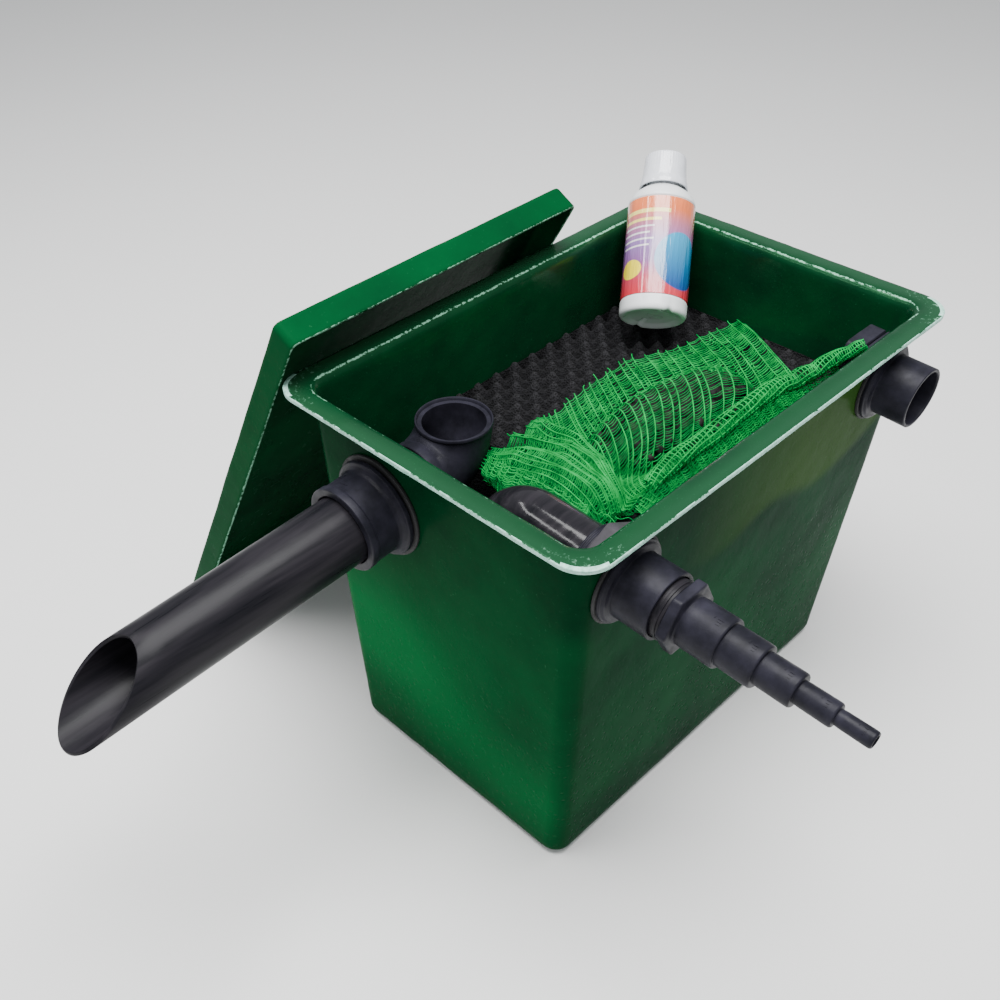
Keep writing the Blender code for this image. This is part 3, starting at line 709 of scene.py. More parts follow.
def make_elbow():
    """Short-radius elbow with a socket lip at each end."""
    corner = ELBOW.translation
    inward = -Vector(joints["elbow_swivel"]["axis"])
    bend = 35 * MM
    tilt = math.atan2(inward.z, inward.x)
    centre = Vector((corner.x - bend, corner.y, corner.z + bend))
    path, radii, bores = [], [], []
    socket = ((-11, 33.2, 30.9), (-10.5, 33.7, 30.6), (-3.5, 33.7, 30.6), (-2.5, 33, 30.6), (0, 32.6, 28))
    for along, radius, bore in socket:
        path.append((corner + inward * (along * MM - bend), inward))
        radii.append(radius * MM)
        bores.append(bore * MM)
    steps = 14
    for i in range(1, steps + 1):
        turn = tilt + (math.pi / 2 - tilt) * i / steps
        outwards = Vector((math.sin(turn), 0, -math.cos(turn)))
        path.append((centre + outwards * bend, Vector((math.cos(turn), 0, math.sin(turn)))))
        radii.append((32.6 + 0.5 * math.sin(math.pi * i / steps)) * MM)
        bores.append(27.6 * MM)
    top = path[-1][0]
    up = Vector((0, 0, 1))
    for rise, radius, bore in ((0.2, 33.1, 31.2), (0.6, 33.5, 31.4), (2.4, 33.5, 31.6), (3, 33.1, 32.2)):
        path.append((top + up * rise * MM, up))
        radii.append(radius * MM)
        bores.append(bore * MM)
    elbow = bent_tube("elbow_bend", path, radii, bores, Vector((0, 1, 0)), FITTING)
    settle(elbow, "elbow", "black_fitting", "overflow_elbow")


def side_connector(name, place, node):
    """Tank connector with a socket, a stepped flange and a threaded tail."""
    profile = [(27.4, 42), (28.1, 41.4), (28, 9.6), (30, 8.8), (33.2, 8.4), (34.4, 6.6), (36, 6.2), (36, 3.3)]
    profile += [(29.8, 3.3), (29.8, -22.5)] + threads(29.8, -23, 3, 3) + [(25.4, -31.7), (25.4, 0),
        (23, 1), (23, 10)]
    profile += [(24.5, 11), (24.5, 40.6), (25.2, 42)]
    settle(lathe(name, profile, scaled(place), FITTING, 128, 0.6), "tub", "black_fitting", node)


def make_gasket(name, place, node):
    ring = [(30.4, 0.4), (38, 0.4), (38, 3), (30.4, 3)]
    settle(lathe(name, ring, scaled(place), RUBBER, 96, 0.5), "tub", "black_rubber", node)


def make_nut(name, place, near, far, node, turn0, material=FITTING):
    """Hexagon nut with chamfered corners."""
    nut = [(30.1, near), (34, near), (35.25, near - 0.9), (35.25, far + 1.4), (33.9, far), (30.1, far)]
    piece = lathe(name, nut, scaled(place), material, 120, 0.4, hexed(70.5, far + 0.9, near - 0.5, turn0))
    settle(piece, "tub", "black_fitting", node)


def make_hosetail():
    """Hosetail with five steps and a hexagon, each step given as (radius, end, bore)."""
    steps = ((20.2, 92, 16.5), (17.3, 121, 13.6), (13.6, 150, 10), (9.6, 179, 6.8), (6.7, 207, 4.3))
    profile = [(16.5, 30), (20.2, 30), (20.2, 50.4), (25.4, 50.8), (26, 51.8), (26, 58.6), (25.2, 59.5)]
    profile += [(21.2, 59.7)]
    start = 60.5
    for radius, end, _ in steps:
        profile += [(radius - 0.5, start), (radius - 0.2, start + 4), (radius, end - 4.5),
            (radius - 0.1, end - 1.2)]
        profile += [(radius - 0.9, end)]
        start = end
    profile[-1] = (5.9, 207)
    bores = []
    for index, (_, end, bore) in enumerate(steps):
        begin = 30.5 if index == 0 else steps[index - 1][1] - 3
        bores += [(bore, begin), (bore, end - 6 if index < 4 else end - 0.4)]
    profile += [(4.9, 207)] + bores[::-1]
    tail = lathe("hosetail_body", profile, scaled(INLET), FITTING, 120, 0.5, hexed(52, 50.9, 59.4))
    settle(tail, "hosetail", "black_fitting", "stepped_hosetail")
    for index, (radius, end, _) in enumerate(steps):
        rows = []
        for row in range(3):
            rows.append((96 + row * 130 / radius, end - 8, 0.9, 4.2 - row * 0.7 - index * 0.35))
        rows.append((96, end - 13, 2.4, 0.7))
        ticks(f"hosetail_ticks_{index + 1}", INLET, radius - 0.05, rows, "hosetail", "black_fitting")


def make_inlet():
    side_connector("inlet_flange_socket", INLET, "inlet_tank_connector")
    make_gasket("inlet_flange_gasket", INLET, "inlet_gasket")
    make_nut("inlet_nut", INLET, -6, -22, "inlet_backnut", math.pi / 6, NUT)
    bush = [(20.6, 12), (24.15, 12), (24.15, 49.6), (23.3, 50.4), (20.6, 50.4)]
    settle(lathe("inlet_reducer", bush, scaled(INLET), PIPE, 112, 0.5), "tub", "black_pipe", "inlet_bush")
    rib = [(24.1, 44.6), (24.9, 44.8), (24.9, 47.4), (24.1, 47.6)]
    settle(lathe("inlet_reducer_rib", rib, scaled(INLET), PIPE, 112, 0.3), "tub", "black_pipe")
    make_hosetail()


def make_inlet_bend():
    """Smooth glossy bend, then a coupler and the drop pipe."""
    radius, bend = 25 * MM, 34 * MM
    inward = -(INLET.to_3x3() @ Vector((0, 0, 1)))
    down = INLET.to_3x3() @ Vector((0, -1, 0))
    origin = INLET.translation
    arm = 84 * MM
    path = [(origin + inward * t, inward) for t in (2 * MM, 26 * MM, 55 * MM, arm)]
    corner = origin + inward * arm
    steps = 14
    for i in range(1, steps + 1):
        turn = math.pi / 2 * i / steps
        centre = corner + (inward * math.sin(turn) + down * (1 - math.cos(turn))) * bend
        path.append((centre, inward * math.cos(turn) + down * math.sin(turn)))
    foot = path[-1][0]
    path.append((foot + down * 38 * MM, down))
    sideways = Vector((1, 0, 0))
    radii, bores = [radius] * len(path), [radius - 3 * MM] * len(path)
    tube = bent_tube("inlet_bend_tube", path, radii, bores, sideways, GLOSS_PIPE)
    settle(tube, "tub", "black_pipe", "inlet_bend")
    end = foot + down * 38 * MM
    below = wall_frame(end, down + Vector((1e-6, 0, 0)))
    coupler = [(25.4, -22), (28.6, -22), (29, -21), (29, 21), (28.6, 22), (25.4, 22)]
    sleeve = lathe("drop_pipe_coupler", coupler, scaled(below), FITTING, 96, 0.5)
    settle(sleeve, "tub", "black_pipe", "drop_coupler")
    pipe = [(22, 1), (25, 1), (25, 235), (22, 235)]
    drop = lathe("drop_pipe_tube", pipe, scaled(below), PIPE, 96, 0.4)
    settle(drop, "tub", "black_pipe", "inlet_drop_pipe")


def make_second_outlet():
    side_connector("second_flange_socket", SECOND, "second_outlet_connector")
    make_gasket("second_flange_gasket", SECOND, "second_outlet_gasket")
    make_nut("second_locknut", SECOND, -7.8, -13.8, "second_outlet_locknut", 0)
    make_nut("second_nut", SECOND, -14.8, -31, "second_outlet_backnut", 0)


# ---------------------------------------------------------------- foams and grid

def foam_block(name, node, body, peaks):
    """A foam block in its CAD box, notched for the second outlet; the top one is cut to rounded peaks."""
    low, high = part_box(node)
    step = 1.6 * MM if peaks else 4 * MM
    nx = int((high.x - low.x) / step)
    ny = int((high.y - low.y) / step)
    notch = (0.134, -0.110)
    taper_low = (high.z - low.z) * TAPER
    pitch = 25.5 * MM

    def outline(ix, iy, share):
        """Point of a block without its notch; the sides follow the tub's taper."""
        shrink = taper_low * (1 - share)
        x = low.x + (high.x - shrink - low.x) * ix / nx
        y = (low.y + shrink) + (high.y - low.y - 2 * shrink) * iy / ny
        return x, y

    points, index, faces = [], {}, []

    def vertex(ix, iy, layer, layers):
        key = (ix, iy, layer)
        if key in index:
            return index[key]
        share = layer / layers
        x, y = outline(ix, iy, share)
        z = low.z + (high.z - low.z) * share
        rough = 0.5 * noise.noise(Vector((x, y, z)) * 420) + 0.35 * noise.noise(Vector((x, y, z)) * 900)
        if layer == layers:
            if peaks:
                wave = math.cos(2 * math.pi * x / pitch) * math.cos(2 * math.pi * y / pitch)
                form = (0.5 + 0.5 * wave) ** 1.15
                edge = min(ix, nx - ix, iy, ny - iy) / 6
                z -= (16 * (1 - form) + 1.5 * noise.noise(Vector((x, y, 0)) * 60)) * MM
                z = min(z + rough * 1.6 * MM, high.z) if edge > 0 else z
            else:
                z -= abs(rough) * 1.2 * MM
        else:
            on_x, on_y = ix in (0, nx), iy in (0, ny)
            x += (abs(rough) * 1.2 * MM) * ((ix == 0) - (ix == nx)) if on_x else 0
            y += (abs(rough) * 1.2 * MM) * ((iy == 0) - (iy == ny)) if on_y else 0
        index[key] = len(points)
        points.append((x, y, z))
        return index[key]

    layers = 12 if peaks else 24
    sides = (
        (1, 0, ((1, 0), (1, 1))), (-1, 0, ((0, 1), (0, 0))), (0, 1, ((1, 1), (0, 1))), (0, -1, ((0, 0),
        (1, 0))),
    )
    inside = {}
    for ix in range(nx):
        for iy in range(ny):
            x, y = outline(ix + 0.5, iy + 0.5, 1)
            inside[ix, iy] = not (x > notch[0] and y < notch[1])
    for (ix, iy), solid in inside.items():
        if not solid:
            continue
        for layer, flip in ((0, True), (layers, False)):
            quad = [vertex(ix + a, iy + b, layer, layers) for a, b in ((0, 0), (1, 0), (1, 1), (0, 1))]
            faces.append(tuple(quad[::-1] if flip else quad))
        for dx, dy, ends in sides:
            if inside.get((ix + dx, iy + dy), False):
                continue
            a, b = ((ix + ex, iy + ey) for ex, ey in ends)
            for layer in range(layers):
                faces.append((vertex(*a, layer, layers), vertex(*b, layer, layers),
                              vertex(*b, layer + 1, layers), vertex(*a, layer + 1, layers)))
    foam = outward(mesh_object(name, points, faces, FOAM, 70))
    top = high.z
    # Painted light: how near each point lies to the tops of the peaks, for the foam's painted light.
    paint(foam, "painted_peak_light", [min(1, max(0, 1 - (top - v.co.z) / (15 * MM))) for v in foam.data.vertices])
    return settle(foam, body, "black_foam", node)


def make_foams():
    foam_block("foam_pad_top", "foam_top", "upper_foam", True)
    foam_block("foam_pad_middle", "foam_middle", "middle_foam", False)
    foam_block("foam_pad_bottom", "foam_bottom", "lower_foam", False)


# ---------------------------------------------------------------- net bag and media

def ripple(x, y, seed, scale):
    """Smooth repeatable unevenness from a few crossing waves, about -1 to 1. x and y in mm."""
    rng = np.random.default_rng(seed)
    total = 0
    for _ in range(6):
        angle, phase = rng.uniform(0, 2 * math.pi, 2)
        size = scale * rng.uniform(0.6, 1.7)
        total = total + np.sin((x * math.cos(angle) + y * math.sin(angle)) * 2 * math.pi / size + phase)
    return total / 3.2


def dome(x, y, centre, half, power=2.3, turn=0.0):
    """1 at the centre of a rounded oblong, 0 outside it."""
    c, s = math.cos(math.radians(turn)), math.sin(math.radians(turn))
    dx, dy = x - centre[0], y - centre[1]
    a, b = (c * dx + s * dy) / half[0], (-s * dx + c * dy) / half[1]
    return np.clip(1 - np.abs(a) ** power - np.abs(b) ** power, 0, None) ** 0.62


def ridge(x, y, line, radius):
    """Rounded ridge along a polyline of (x, y, height): the height where the ridge is, else 0."""
    best = np.zeros_like(x)
    for (x0, y0, h0), (x1, y1, h1) in zip(line, line[1:]):
        dx, dy = x1 - x0, y1 - y0
        t = np.clip(((x - x0) * dx + (y - y0) * dy) / (dx * dx + dy * dy), 0, 1)
        gap = np.hypot(x - x0 - t * dx, y - y0 - t * dy) / radius
        best = np.maximum(best, (h0 + t * (h1 - h0)) * np.clip(1 - gap ** 2, 0, None) ** 0.7)
    return best


# The hem's line in plan, with its height over the foam: (x, y, height) in mm.
HEM = (
    (-100, -96, 18), (-74, -98, 34), (-40, -100, 41), (60, -98, 43), (100, -103, 44), (126, -112, 46),
    (148, -119, 50),
)


def hem_y(x):
    return np.interp(x, [p[0] for p in HEM], [p[1] for p in HEM])


def hem_rise(x):
    return np.interp(x, [p[0] for p in HEM], [p[2] for p in HEM])


def net_height(x, y):
    """Height of the net over the foam in mm, draped over the media and its own folds."""
    bulge = 40 * dome(x, y, (32, -38), (98, 42), 2.6, -5)
    lobe = ridge(x, y, ((-132, 26, 22), (-122, 2, 34), (-116, -30, 40), (-114, -62, 36)), 30)
    fold = ridge(x, y, ((-52, 54, 8), (-74, 22, 28), (-82, -18, 38), (-88, -48, 36), (-102, -70, 26)), 17)
    second = ridge(x, y, ((-92, 44, 14), (-97, 14, 30), (-98, -16, 36), (-102, -46, 34), (-110, -76, 22)), 12)
    rise = hem_rise(x)
    back = rise * np.clip(1 - np.abs(y - hem_y(x)) / 20, 0, None) ** 1.1
    front = rise * np.clip(1 - (hem_y(x) - y) / 27, 0, 1) ** 0.8
    hem = np.where(y > hem_y(x), back, front)
    parts = (bulge, lobe, fold, second, hem)
    height = np.maximum.reduce(parts)
    soft = np.log(sum(np.exp(h / 3) for h in parts)) * 3 - math.log(5) * 3
    return np.maximum(0.6 * height + 0.4 * np.maximum(soft, 0), 0)


# Where the net's strands run in plan, from the frayed edge to the hem, left to right: (x, y) in mm.
STRAND_LINES = (
    ((-147, 26), (-151, 6), (-149, -16), (-146, -40), (-144, -66), (-140, -80)),
    ((-141, 33), (-141, 10), (-137, -14), (-134, -40), (-134, -66), (-132, -84)),
    ((-128, 38), (-127, 13), (-123, -13), (-120, -38), (-120, -62), (-122, -86)),
    ((-108, 42), (-110, 14), (-108, -14), (-107, -42), (-109, -63), (-113, -88)),
    ((-82, 47), (-90, 15), (-91, -14), (-94, -42), (-99, -60), (-105, -90)),
    ((-52, 51), (-74, 17), (-81, -21), (-85, -47), (-92, -66), (-98, -93)),
    ((-20, 53), (-44, 17), (-62, -25), (-71, -48), (-80, -68), (-88, -96)),
    ((18, 59), (-8, 20), (-38, -28), (-53, -50), (-70, -68), (-76, -98)),
    ((58, 62), (32, 22), (-6, -30), (-26, -54), (-46, -70), (-54, -99)),
    ((94, 60), (70, 18), (30, -34), (4, -62), (-10, -75), (-22, -99)),
    ((130, 43), (111, 10), (78, -32), (50, -64), (34, -77), (20, -98)),
    ((178, 35), (160, -2), (130, -42), (104, -70), (84, -82), (70, -99)),
    ((226, 30), (213, 0), (190, -40), (170, -74), (152, -98), (128, -113)),
)


def between(p0, p1, p2, p3, f):
    """Catmull-Rom curve from p1 to p2, at f from 0 to 1."""
    square = 2 * p0 - 5 * p1 + 4 * p2 - p3
    cube = 3 * p1 - p0 - 3 * p2 + p3
    return 0.5 * (2 * p1 + (p2 - p0) * f + square * f ** 2 + cube * f ** 3)


def catmull(points, t):
    """Smooth curve through points (n, 2) at t from 0 to 1."""
    points = np.asarray(points, float)
    n = len(points) - 1
    position = np.clip(np.asarray(t, float), 0, 1) * n
    i = np.minimum(position.astype(int), n - 1)
    f = (position - i)[..., None]
    padded = np.concatenate([2 * points[:1] - points[1:2], points, 2 * points[-1:] - points[-2:-1]])
    return between(*(padded[i + k] for k in range(4)), f)


def plan_of(u, v):
    """Plan position of fabric point (u, v), each 0 to 1: u across the strands, v along them."""
    u, v = np.broadcast_arrays(np.asarray(u, float), np.asarray(v, float))
    lines = np.asarray(STRAND_LINES, float)
    rows = np.stack([catmull(line, v.ravel()) for line in lines])
    n = len(lines) - 1
    position = np.clip(u.ravel(), 0, 1) * n
    i = np.minimum(position.astype(int), n - 1)
    f = (position - i)[:, None]
    padded = np.concatenate([2 * rows[:1] - rows[1:2], rows, 2 * rows[-1:] - rows[-2:-1]])
    pick = np.arange(len(i))
    xy = between(*(padded[i + k, pick] for k in range(4)), f)
    return xy[:, 0].reshape(u.shape), xy[:, 1].reshape(u.shape)


def top_sheet(u, v):
    """The upper layer of the net, in mm."""
    x, y = plan_of(u, v)
    gathers = np.clip((-30 - x) / 50, 0, 1)
    end = np.clip((x + 156) / 20, 0, 1) ** 0.5
    crease = ripple(u * 420, v * 60, 5, 26) * (0.4 + 1.3 * gathers) + ripple(x, y, 9, 40)
    z = net_height(x, y) * end + crease * (0.4 + 0.6 * end)
    return np.stack([x, y, FOAM_TOP / MM + 2.4 + np.maximum(z, 0)], -1)


def lower_sheet(u, v):
    """The layer underneath, flat on the foam's peaks."""
    x, y = plan_of(u, np.clip(v * 0.93 + 0.03, 0, 1))
    drop = ripple(x, y, 21, 30) * 0.5
    return np.stack([x + 3, y - 1.5, FOAM_TOP / MM + 1.1 + drop * 0.6], -1)


def front_sheet(u, v):
    """The steep front between the hem and the foam."""
    x = -104 + (152 + 104) * u
    rise = hem_rise(x)
    y = np.maximum(hem_y(x) - 3 - 22 * v - 2.5 * np.sin(v * math.pi), -134.5)
    z = rise * (1 - v) ** 0.85 + ripple(x, v * 40, 31, 24) * 0.8 * np.sin(v * math.pi)
    y = y + ripple(x, v * 60, 33, 30) * 1.2
    return np.stack([x + 8 * v, y, FOAM_TOP / MM + 1.5 + np.maximum(z, 0)], -1)


def front_backing(u, v):
    """A second layer just behind the front."""
    return front_sheet(u * 0.97 + 0.015, v) + np.array((0, 2.2, -1.5))


def tubes(paths, radius, sides, fill):
    """Closed tubes along paths (n, m, 3) in mm, added to fill as (points, faces)."""
    paths = np.asarray(paths, float)
    n, m, _ = paths.shape
    along = np.gradient(paths, axis=1)
    along /= np.linalg.norm(along, axis=2, keepdims=True) + 1e-9
    side = np.cross(along, np.array((0.13, 0.07, 1.0)))
    side /= np.linalg.norm(side, axis=2, keepdims=True) + 1e-9
    up = np.cross(side, along)
    turns = 2 * math.pi * np.arange(sides) / sides
    ring = np.cos(turns)[:, None] * side[:, :, None, :] + np.sin(turns)[:, None] * up[:, :, None, :]
    radius = np.broadcast_to(np.asarray(radius, float), (n, m))
    points = paths[:, :, None, :] + ring * radius[:, :, None, None]
    base = fill["count"]
    grid = base + np.arange(n * m * sides).reshape(n, m, sides)
    low, high = grid[:, :-1], grid[:, 1:]
    quads = np.stack([low, np.roll(low, -1, 2), np.roll(high, -1, 2), high], -1).reshape(-1, 4)
    fill["points"].append(points.reshape(-1, 3))
    fill["faces"].extend(map(tuple, quads[:, ::-1].tolist()))
    fill["faces"].extend(map(tuple, grid[:, 0].tolist()))
    fill["faces"].extend(map(tuple, grid[:, -1, ::-1].tolist()))
    fill["count"] += n * m * sides


def knit(sheet, strands, rungs, fill, seed, strand_r=0.75, rung_r=0.45, fray=0.0, skip=0.03):
    """Net over a sheet: pillars along v, and ladder rungs between each two of them."""
    rng = np.random.default_rng(seed)
    steps = 64
    v = np.linspace(0, 1, steps)
    us = (np.arange(strands) + 0.5 * rng.uniform(-0.5, 0.5, strands)) / (strands - 1)
    us = np.clip(us, 0, 1)
    sway = np.stack([ripple(v * 100, k * 37.0, seed + 2, 60) * 0.16 / strands for k in range(strands)])
    u_of = us[:, None] + sway
    paths = sheet(u_of, np.broadcast_to(v, u_of.shape))
    tubes(paths, strand_r, 6, fill)
    if fray:
        start, ahead = paths[:, 0], paths[:, 0] - paths[:, 2]
        ahead /= np.linalg.norm(ahead, axis=1, keepdims=True)
        length = rng.uniform(0.2, 1.0, (strands, 1)) * fray
        bend = rng.uniform(-0.35, 0.35, (strands, 3)) * length
        stubs = [start + ahead * length * t + bend * t * t for t in (-0.1, 0.3, 0.65, 1.0)]
        tubes(np.stack(stubs, 1), strand_r * 0.85, 5, fill)
    pieces = []
    for k in range(strands - 1):
        phase = rng.uniform(0, 1)
        at = (np.arange(rungs) + phase + rng.uniform(-0.22, 0.22, rungs)) / rungs
        at = at[rng.random(rungs) > skip]
        left = np.interp(at, v, u_of[k])
        right = np.interp(at, v, u_of[k + 1])
        tilt = rng.uniform(-0.35, 0.35, len(at)) / rungs
        share = np.linspace(0, 1, 5)
        u = left[:, None] + (right - left)[:, None] * share
        sag = 0.5 / rungs * np.sin(share * math.pi)
        vv = np.clip(at[:, None] + tilt[:, None] * (share - 0.5) + sag, 0, 1)
        pieces.append(sheet(u, vv) + rng.normal(0, 0.12, (len(at), 5, 3)))
    rungs_all = np.concatenate(pieces)
    middle = rungs_all[:, 2]
    stretched = (middle[:, 2] > FOAM_TOP / MM + 17) & (middle[:, 0] > -50) & (middle[:, 1] > -78)
    tubes(rungs_all, np.where(stretched, rung_r * 0.66, rung_r)[:, None], 4, fill)


def hem_roll(fill, seed):
    """Rolled front edge with chain-like loops, from the left fold to the tip over the nut."""
    rng = np.random.default_rng(seed)
    line = (
        (-86, -98, 350), (-60, -99.5, 357), (-20, -100, 359.5), (40, -99, 360.5), (84, -101, 361),
        (112, -108, 364), (134, -117, 370), (150, -127, 379), (161, -137, 388),
    )
    t = np.linspace(0, 1, 150)
    spine = catmull(line, t)
    spine[:, 2] += ripple(t * 300, 0, 41, 45) * 1.2
    along = np.gradient(spine, axis=0)
    along /= np.linalg.norm(along, axis=1, keepdims=True)
    side = np.cross(along, (0, 0, 1.0))
    side /= np.linalg.norm(side, axis=1, keepdims=True)
    up = np.cross(side, along)
    thinned = 2.6 * np.clip((t - 0.45) / 0.55, 0, 1) ** 1.2
    girth = 7.4 - thinned - 1.5 * np.clip(0.1 - t, 0, 1) * 10 + ripple(t * 300, 5, 43, 30) * 0.5
    strands = []
    for k in range(10):
        turn = 2 * math.pi * k / 10 + t * 5 + ripple(t * 200, k * 11, 47, 40) * 0.25
        strands.append(spine + girth[:, None] * (np.cos(turn)[:, None] * side + np.sin(turn)[:, None] * up))
    tubes(np.stack(strands), 0.75, 5, fill)
    loops = []
    for i in range(2, 148, 2):
        turns = np.linspace(0, 2 * math.pi, 14) + rng.uniform(0, 1)
        lean = rng.uniform(-1.6, 1.6)
        centre = spine[i] + along[i] * lean * np.cos(turns)[:, None]
        spoke = np.cos(turns)[:, None] * side[i] + np.sin(turns)[:, None] * up[i]
        loops.append(centre + girth[i] * 1.03 * spoke)
    tubes(np.stack(loops), 0.65, 4, fill)


def loose_threads(fill, seed):
    """Cut thread ends at the gathered left end and by the nut."""
    rng = np.random.default_rng(seed)
    places = (
        (-151, 10, 333), (-148, 2, 330), (-120, -86, 332), (-112, -88, 330), (-146, 20, 336),
        (-126, -84, 334),
    )
    paths = []
    for x, y, z in places:
        for _ in range(3):
            heading = rng.normal(0, 1, 3) * (1, 1, 0.35)
            start = np.array((x, y, z)) + rng.normal(0, 2, 3)
            length = rng.uniform(8, 20)
            t = np.linspace(0, 1, 12)[:, None]
            drop = np.array((0, 0, -9.0)) * t ** 2
            curl = 1.5 * np.sin(t * 6 + rng.uniform(0, 6))
            paths.append(start + heading / np.linalg.norm(heading) * length * t + drop + curl)
    tubes(np.stack(paths), 0.35, 4, fill)


def net_end(u, v):
    """The net's gathered left end, turned down to the foam."""
    x0, y0 = plan_of(np.zeros_like(u), np.clip(u * 0.98, 0, 1))
    fall = 1 - v
    bulge = np.sin(v * math.pi)
    x = x0 + 6 - 9 * bulge + ripple(u * 90, v * 30, 51, 16) * 1.6
    z = (27 + 6 * np.sin(u * math.pi)) * fall
    y = y0 + ripple(u * 90, v * 30, 52, 18)
    return np.stack([x, y, FOAM_TOP / MM + 1.6 + np.maximum(z, 0)], -1)


def make_net():
    """The net over the media with its rolled hem and loose threads."""
    fill = {"points": [], "faces": [], "count": 0}
    knit(top_sheet, 42, 66, fill, 3, fray=6)
    knit(lower_sheet, 38, 60, fill, 4, strand_r=0.6, rung_r=0.5, fray=4)
    knit(front_sheet, 44, 22, fill, 5, strand_r=0.6, skip=0.0)
    knit(front_backing, 40, 22, fill, 6, strand_r=0.55, skip=0.0)
    knit(net_end, 16, 16, fill, 9, strand_r=0.6, skip=0.0)
    net = mesh_object("bag_net", np.concatenate(fill["points"]) * MM, fill["faces"], NET, 80)
    settle(net, "bag", "green_net", "media_bag")
    trim = {"points": [], "faces": [], "count": 0}
    hem_roll(trim, 7)
    loose_threads(trim, 8)
    hem = mesh_object("bag_hem", np.concatenate(trim["points"]) * MM, trim["faces"], NET, 80)
    settle(hem, "bag", "green_net")


def lump_height(p, seed):
    """How far a lump's skin stands out at a point of the unit ball."""
    return 0.16 * noise.noise(p * 1.4 + seed) + 0.07 * noise.noise(p * 4 + seed)


def make_media():
    """Lumps of dark porous media filling the net's bulge, each a rounded irregular lump."""
    rng = np.random.default_rng(12)
    work = bmesh.new()
    bmesh.ops.create_icosphere(work, subdivisions=3, radius=1.0)
    ball = np.array([v.co[:] for v in work.verts])
    ball_faces = [tuple(v.index for v in face.verts) for face in work.faces]
    work.free()
    points, faces = [], []
    for layer, lift in enumerate((0.0, 0.52)):
        for x in np.arange(-60 + 8 * layer, 126, 15.0):
            for y in np.arange(-80 + 7 * layer, 10, 13.5):
                cx, cy = x + rng.uniform(-3, 3), y + rng.uniform(-3, 3)
                room = float(net_height(np.array([cx]), np.array([cy]))[0])
                size = min(11.5, room * 0.3) * rng.uniform(0.92, 1.08)
                if room < 16 or size < 4:
                    continue
                centre_z = FOAM_TOP / MM + 2 + size + (room - 2.2 * size) * lift * 1.75
                centre_z = min(centre_z, FOAM_TOP / MM + room - size * 1.02)
                spin = Matrix.Rotation(rng.uniform(0, 6.28), 3, "Z")
                spin = spin @ Matrix.Rotation(rng.uniform(0, 3.14), 3, "X")
                stretch = np.array((rng.uniform(1.0, 1.3), rng.uniform(0.85, 1.05), rng.uniform(0.8, 1.0)))
                seed = Vector((cx, cy, lift * 40))
                rough = np.array([lump_height(Vector(p), seed) for p in ball])
                shaped = (ball * (1 + rough)[:, None] * stretch) @ np.array(spin).T * size * 0.9
                base = sum(len(p) for p in points)
                points.append(shaped + (cx, cy, centre_z))
                faces += [tuple(base + k for k in face) for face in ball_faces]
    media = mesh_object("media_lumps", np.concatenate(points) * MM, faces, MEDIA, 70)
    settle(media, "bag", "dark_media", "bag_media")


# ---------------------------------------------------------------- bottle

def bottle_place():
    turn = Matrix.Rotation(math.atan2(BOTTLE_AXIS.y, BOTTLE_AXIS.x), 4, "Z")
    lean = Matrix.Rotation(math.acos(BOTTLE_AXIS.z), 4, "Y")
    return Matrix.Translation(BOTTLE_BASE) @ turn @ lean


